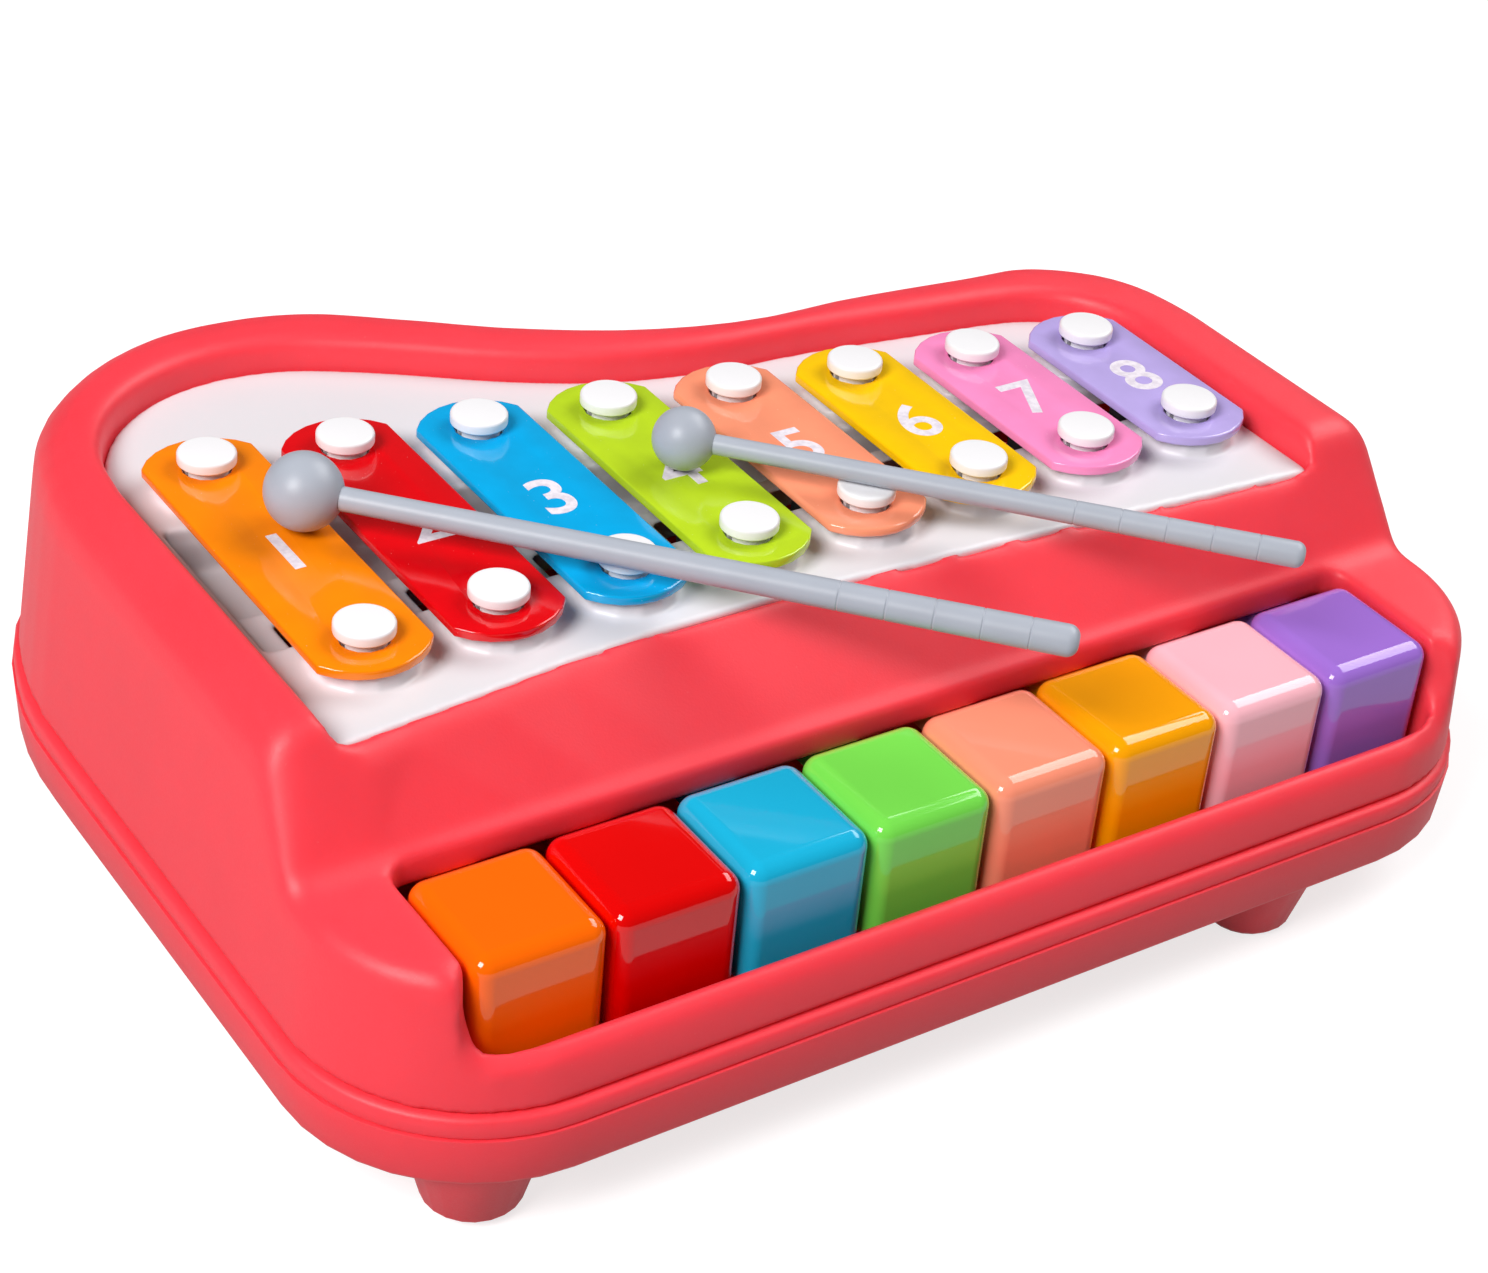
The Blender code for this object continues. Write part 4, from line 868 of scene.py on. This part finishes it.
rubber_look, steel_look = rubber(), drawn_steel()
for number in range(1, NOTES + 1):
    node = "hammer_%d" % number
    low, high = span(node)
    x, y = (low.x + high.x) / 2, (low.y + high.y) / 2
    tip = rod("hammer_tip_%d" % number, (high.x - low.x) / 2, (x, y, low.z), (x, y, high.z),
              HAMMER_SIDES)
    hollow(tip, HAMMER_WALL, HAMMER_SOCKET)
    round_edges(tip, lambda edge: lowest(edge) > high.z - NEAR, HAMMER_ROUND, steps=4)
    wear(smooth(tip), rubber_look, "key_%d_lever" % number, "hammer_rubber", [node])
low, high = span("key_shaft")
middle = (low + high) / 2
shaft = rod("pivot_shaft", (high.z - low.z) / 2, (low.x, middle.y, middle.z),
            (high.x, middle.y, middle.z), SHAFT_SIDES)
wear(broken_edges(shaft, SHAFT_EDGE, steps=2), steel_look, "root", "steel", ["key_shaft"])
for number in range(1, SCREWS + 1):
    node = "case_screw_%d" % number
    screw = broken_edges(merged_copy(node, "screw_%d" % number), SCREW_EDGE, steps=2)
    wear(screw, steel_look, "root", "steel", [node])
print("hammers", NOTES, "shaft 1 screws", SCREWS)

# %% [markdown]
# ## Grey plastic
#
# The mallets are moulded in a satin grey plastic, with the same kind of clouds and grain as the
# white tray.

# %% Grey plastic
GREY = colour(172, 177, 188)


def grey_plastic():
    """Satin grey plastic."""
    look = Look("grey_satin_plastic", ior=1.47)
    clouds = look.noise(9 * MM, detail=2.0)
    grain = look.noise(0.5 * MM, detail=2.0)
    look.set("Base Color", look.mix(clouds, shade(GREY, 0.94), shade(GREY, 1.05)))
    look.set("Roughness", 0.34 + grain * 0.12)
    look.set("Normal", look.bump(grain, 0.012 * MM, look.bump(clouds, 0.04 * MM)))
    return look


grey_look = grey_plastic()
print("material", grey_look.material.name)

# %% [markdown]
# ## Mallets
#
# Each mallet is a ball on a tapered handle with a domed end. The mould left a row of fine rings
# round the grip. A mallet is modelled upright with its ball at the origin, then leaned over and
# laid in its place.

# %% Model the mallets
HANDLE_ENDS = {"left": (4.6 * MM, 6.1 * MM), "right": (4.0 * MM, 5.2 * MM)}
SOCKET_SHARE = 0.5
SOCKET_GAP = 0.12 * MM
RING_PITCH = 8.8 * MM
RING_COUNT = 5
RING_DEPTH = 0.14 * MM
RING_WIDTH = 0.5 * MM
DOME_SHARE = 0.36
DOME_STEPS = 8
BALL_SEGMENTS, BALL_RINGS = 96, 64
END_ROUNDS = 3


def slice_round(piece, height):
    """Add a level loop of edges round a piece."""
    edit(piece, everything=True)
    bpy.ops.mesh.bisect(plane_co=(0, 0, height), plane_no=(0, 0, 1))
    done()


def handle_end(centre, low, high, radius):
    """Middle of the far end of a rod that starts at a centre and just fits a box."""
    end = Vector((high.x, low.y, low.z + radius))
    for _ in range(END_ROUNDS):
        way = (end - centre).normalized()
        reach = [radius * sqrt(1 - part * part) for part in way]
        end = Vector((high.x - reach[0], low.y + reach[1], low.z + reach[2]))
    return end


def handle(name, thin, thick, start, length):
    """Upright tapered handle with rings near its domed end."""
    clear_selection()
    bpy.ops.mesh.primitive_cone_add(vertices=FINE_SIDES, radius1=thin / 2, radius2=thick / 2,
                                    depth=length - start, location=(0, 0, (length + start) / 2))
    piece = settle(newest(name))
    round_edges(piece, lambda edge: lowest(edge) > length - NEAR, DOME_SHARE * thick, DOME_STEPS)
    for ring in range(1, RING_COUNT + 1):
        middle = length - ring * RING_PITCH
        for height in (middle - RING_WIDTH / 2, middle, middle + RING_WIDTH / 2):
            slice_round(piece, height)
        edit(piece, "VERT")
        pick("verts", lambda vert: abs(vert.co.z - middle) < 2 * NEAR)
        share = 1 - 2 * RING_DEPTH / thick
        bpy.ops.transform.resize(value=(share, share, 1), center_override=(0, 0, middle))
        done()
    return smooth(piece, degrees=25)


for side, (thin, thick) in HANDLE_ENDS.items():
    low, high = span("mallet_ball_" + side)
    centre, radius = (low + high) / 2, (high.z - low.z) / 2
    end = handle_end(centre, *span("mallet_handle_" + side), thick / 2)
    start = radius * (1 - SOCKET_SHARE)
    stick = handle("handle_" + side, thin, thick, start + SOCKET_GAP, (end - centre).length)
    clear_selection()
    bpy.ops.mesh.primitive_uv_sphere_add(segments=BALL_SEGMENTS, ring_count=BALL_RINGS,
                                         radius=radius)
    ball = newest("ball_" + side)
    socket = rod("socket", thin / 2 + SOCKET_GAP, (0, 0, start), (0, 0, 2 * radius), FINE_SIDES)
    combine(ball, socket, "DIFFERENCE")
    smooth(ball, degrees=30)
    lean = (end - centre).to_track_quat("Z", "Y")
    for piece, node in ((ball, "mallet_ball_"), (stick, "mallet_handle_")):
        piece.rotation_mode = "QUATERNION"
        piece.rotation_quaternion = lean
        piece.location = centre
        wear(settle(piece), grey_look, "mallet_" + side, "mallet_grey", [node + side])
    print(side, "mallet's far end in mm:", in_mm([end]))

# %% [markdown]
# ## Floor and room
#
# A pale sweep lies under the toy. It glows for the camera, so that it reads as plain white round
# the soft shadow, and about half as much in reflections. The room is plain white to the camera,
# gives a weak even light, and is dimmer still in reflections, so that the gloss stays clean.

# %% Floor and world
WHITE = (1.0, 1.0, 1.0, 1.0)
FLOOR_HALF = 4.0
FLOOR_PAINT = 0.38
FLOOR_GLOW = 0.75
FLOOR_SHINE = 0.34
ROOM_LIGHT = 0.11
ROOM_SHINE = 0.06


def floor_look():
    """Matte paint with a glow that only the camera and reflections see."""
    look = Look("pale_floor", roughness=0.8, specular_ior_level=0.1)
    look.shader.inputs["Base Color"].default_value = (FLOOR_PAINT, FLOOR_PAINT, FLOOR_PAINT, 1.0)
    seen = look.node("ShaderNodeLightPath", output="Is Camera Ray") * FLOOR_GLOW
    shown = look.node("ShaderNodeLightPath", output="Is Glossy Ray") * FLOOR_SHINE
    glow = look.node("ShaderNodeEmission", None, {"Color": WHITE, "Strength": seen + shown})
    both = look.node("ShaderNodeAddShader")
    look.tree.links.new(look.shader.outputs[0], both.socket.node.inputs[0])
    look.tree.links.new(glow.socket, both.socket.node.inputs[1])
    look.tree.links.new(both.socket, look.tree.nodes["Material Output"].inputs["Surface"])
    return look


select_only(camera)
bpy.ops.mesh.primitive_plane_add(size=2 * FLOOR_HALF, location=(0, 0, 0))
floor = newest("pale_sweep")
floor.data.materials.append(floor_look().material)

world = bpy.data.worlds.new("studio")
bpy.context.scene.world = world
world.use_nodes = True
tree = world.node_tree
room = tree.nodes["Background"]
room.inputs["Color"].default_value = WHITE
rays = tree.nodes.new("ShaderNodeLightPath")
shine = tree.nodes.new("ShaderNodeMapRange")
shine.inputs["To Min"].default_value = ROOM_LIGHT
shine.inputs["To Max"].default_value = ROOM_SHINE
tree.links.new(rays.outputs["Is Glossy Ray"], shine.inputs["Value"])
strength = tree.nodes.new("ShaderNodeMapRange")
tree.links.new(shine.outputs[0], strength.inputs["To Min"])
strength.inputs["To Max"].default_value = 1.0
tree.links.new(rays.outputs["Is Camera Ray"], strength.inputs["Value"])
tree.links.new(strength.outputs[0], room.inputs["Strength"])
print("floor and world ready")

# %% [markdown]
# ## Lamps
#
# The main lamp is a large panel high on the right, which draws the bright line along the front
# edges of the keys. A square one on the left lights that side and leaves a sparkle on the left
# corner of each key. Both are turned to a point in the middle of the toy.

# %% Lamps
AIM = (0.0, 0.0, 0.04)
LAMPS = {
    "high_right_panel": {"place": (1.32, 0.05, 1.39), "width": 1.5, "height": 0.8, "power": 23.0},
    "left_softbox": {"place": (-1.31, -0.48, 1.32), "width": 0.8, "height": 0.8, "power": 37.0}}


def lamp(name, aim, place, width, height, power):
    """A soft rectangular lamp at a place, turned to a point."""
    data = bpy.data.lights.new(name, "AREA")
    data.shape = "RECTANGLE"
    data.size, data.size_y = width, height
    data.energy = power
    made = bpy.data.objects.new(name, data)
    bpy.context.scene.collection.objects.link(made)
    made.location = place
    made.rotation_mode = "QUATERNION"
    made.rotation_quaternion = (Vector(aim) - Vector(place)).to_track_quat("-Z", "Y")
    return made


for name, settings in LAMPS.items():
    lamp(name, AIM, **settings)
bpy.context.scene.view_settings.view_transform = "Standard"
print("lamps", ", ".join(LAMPS))
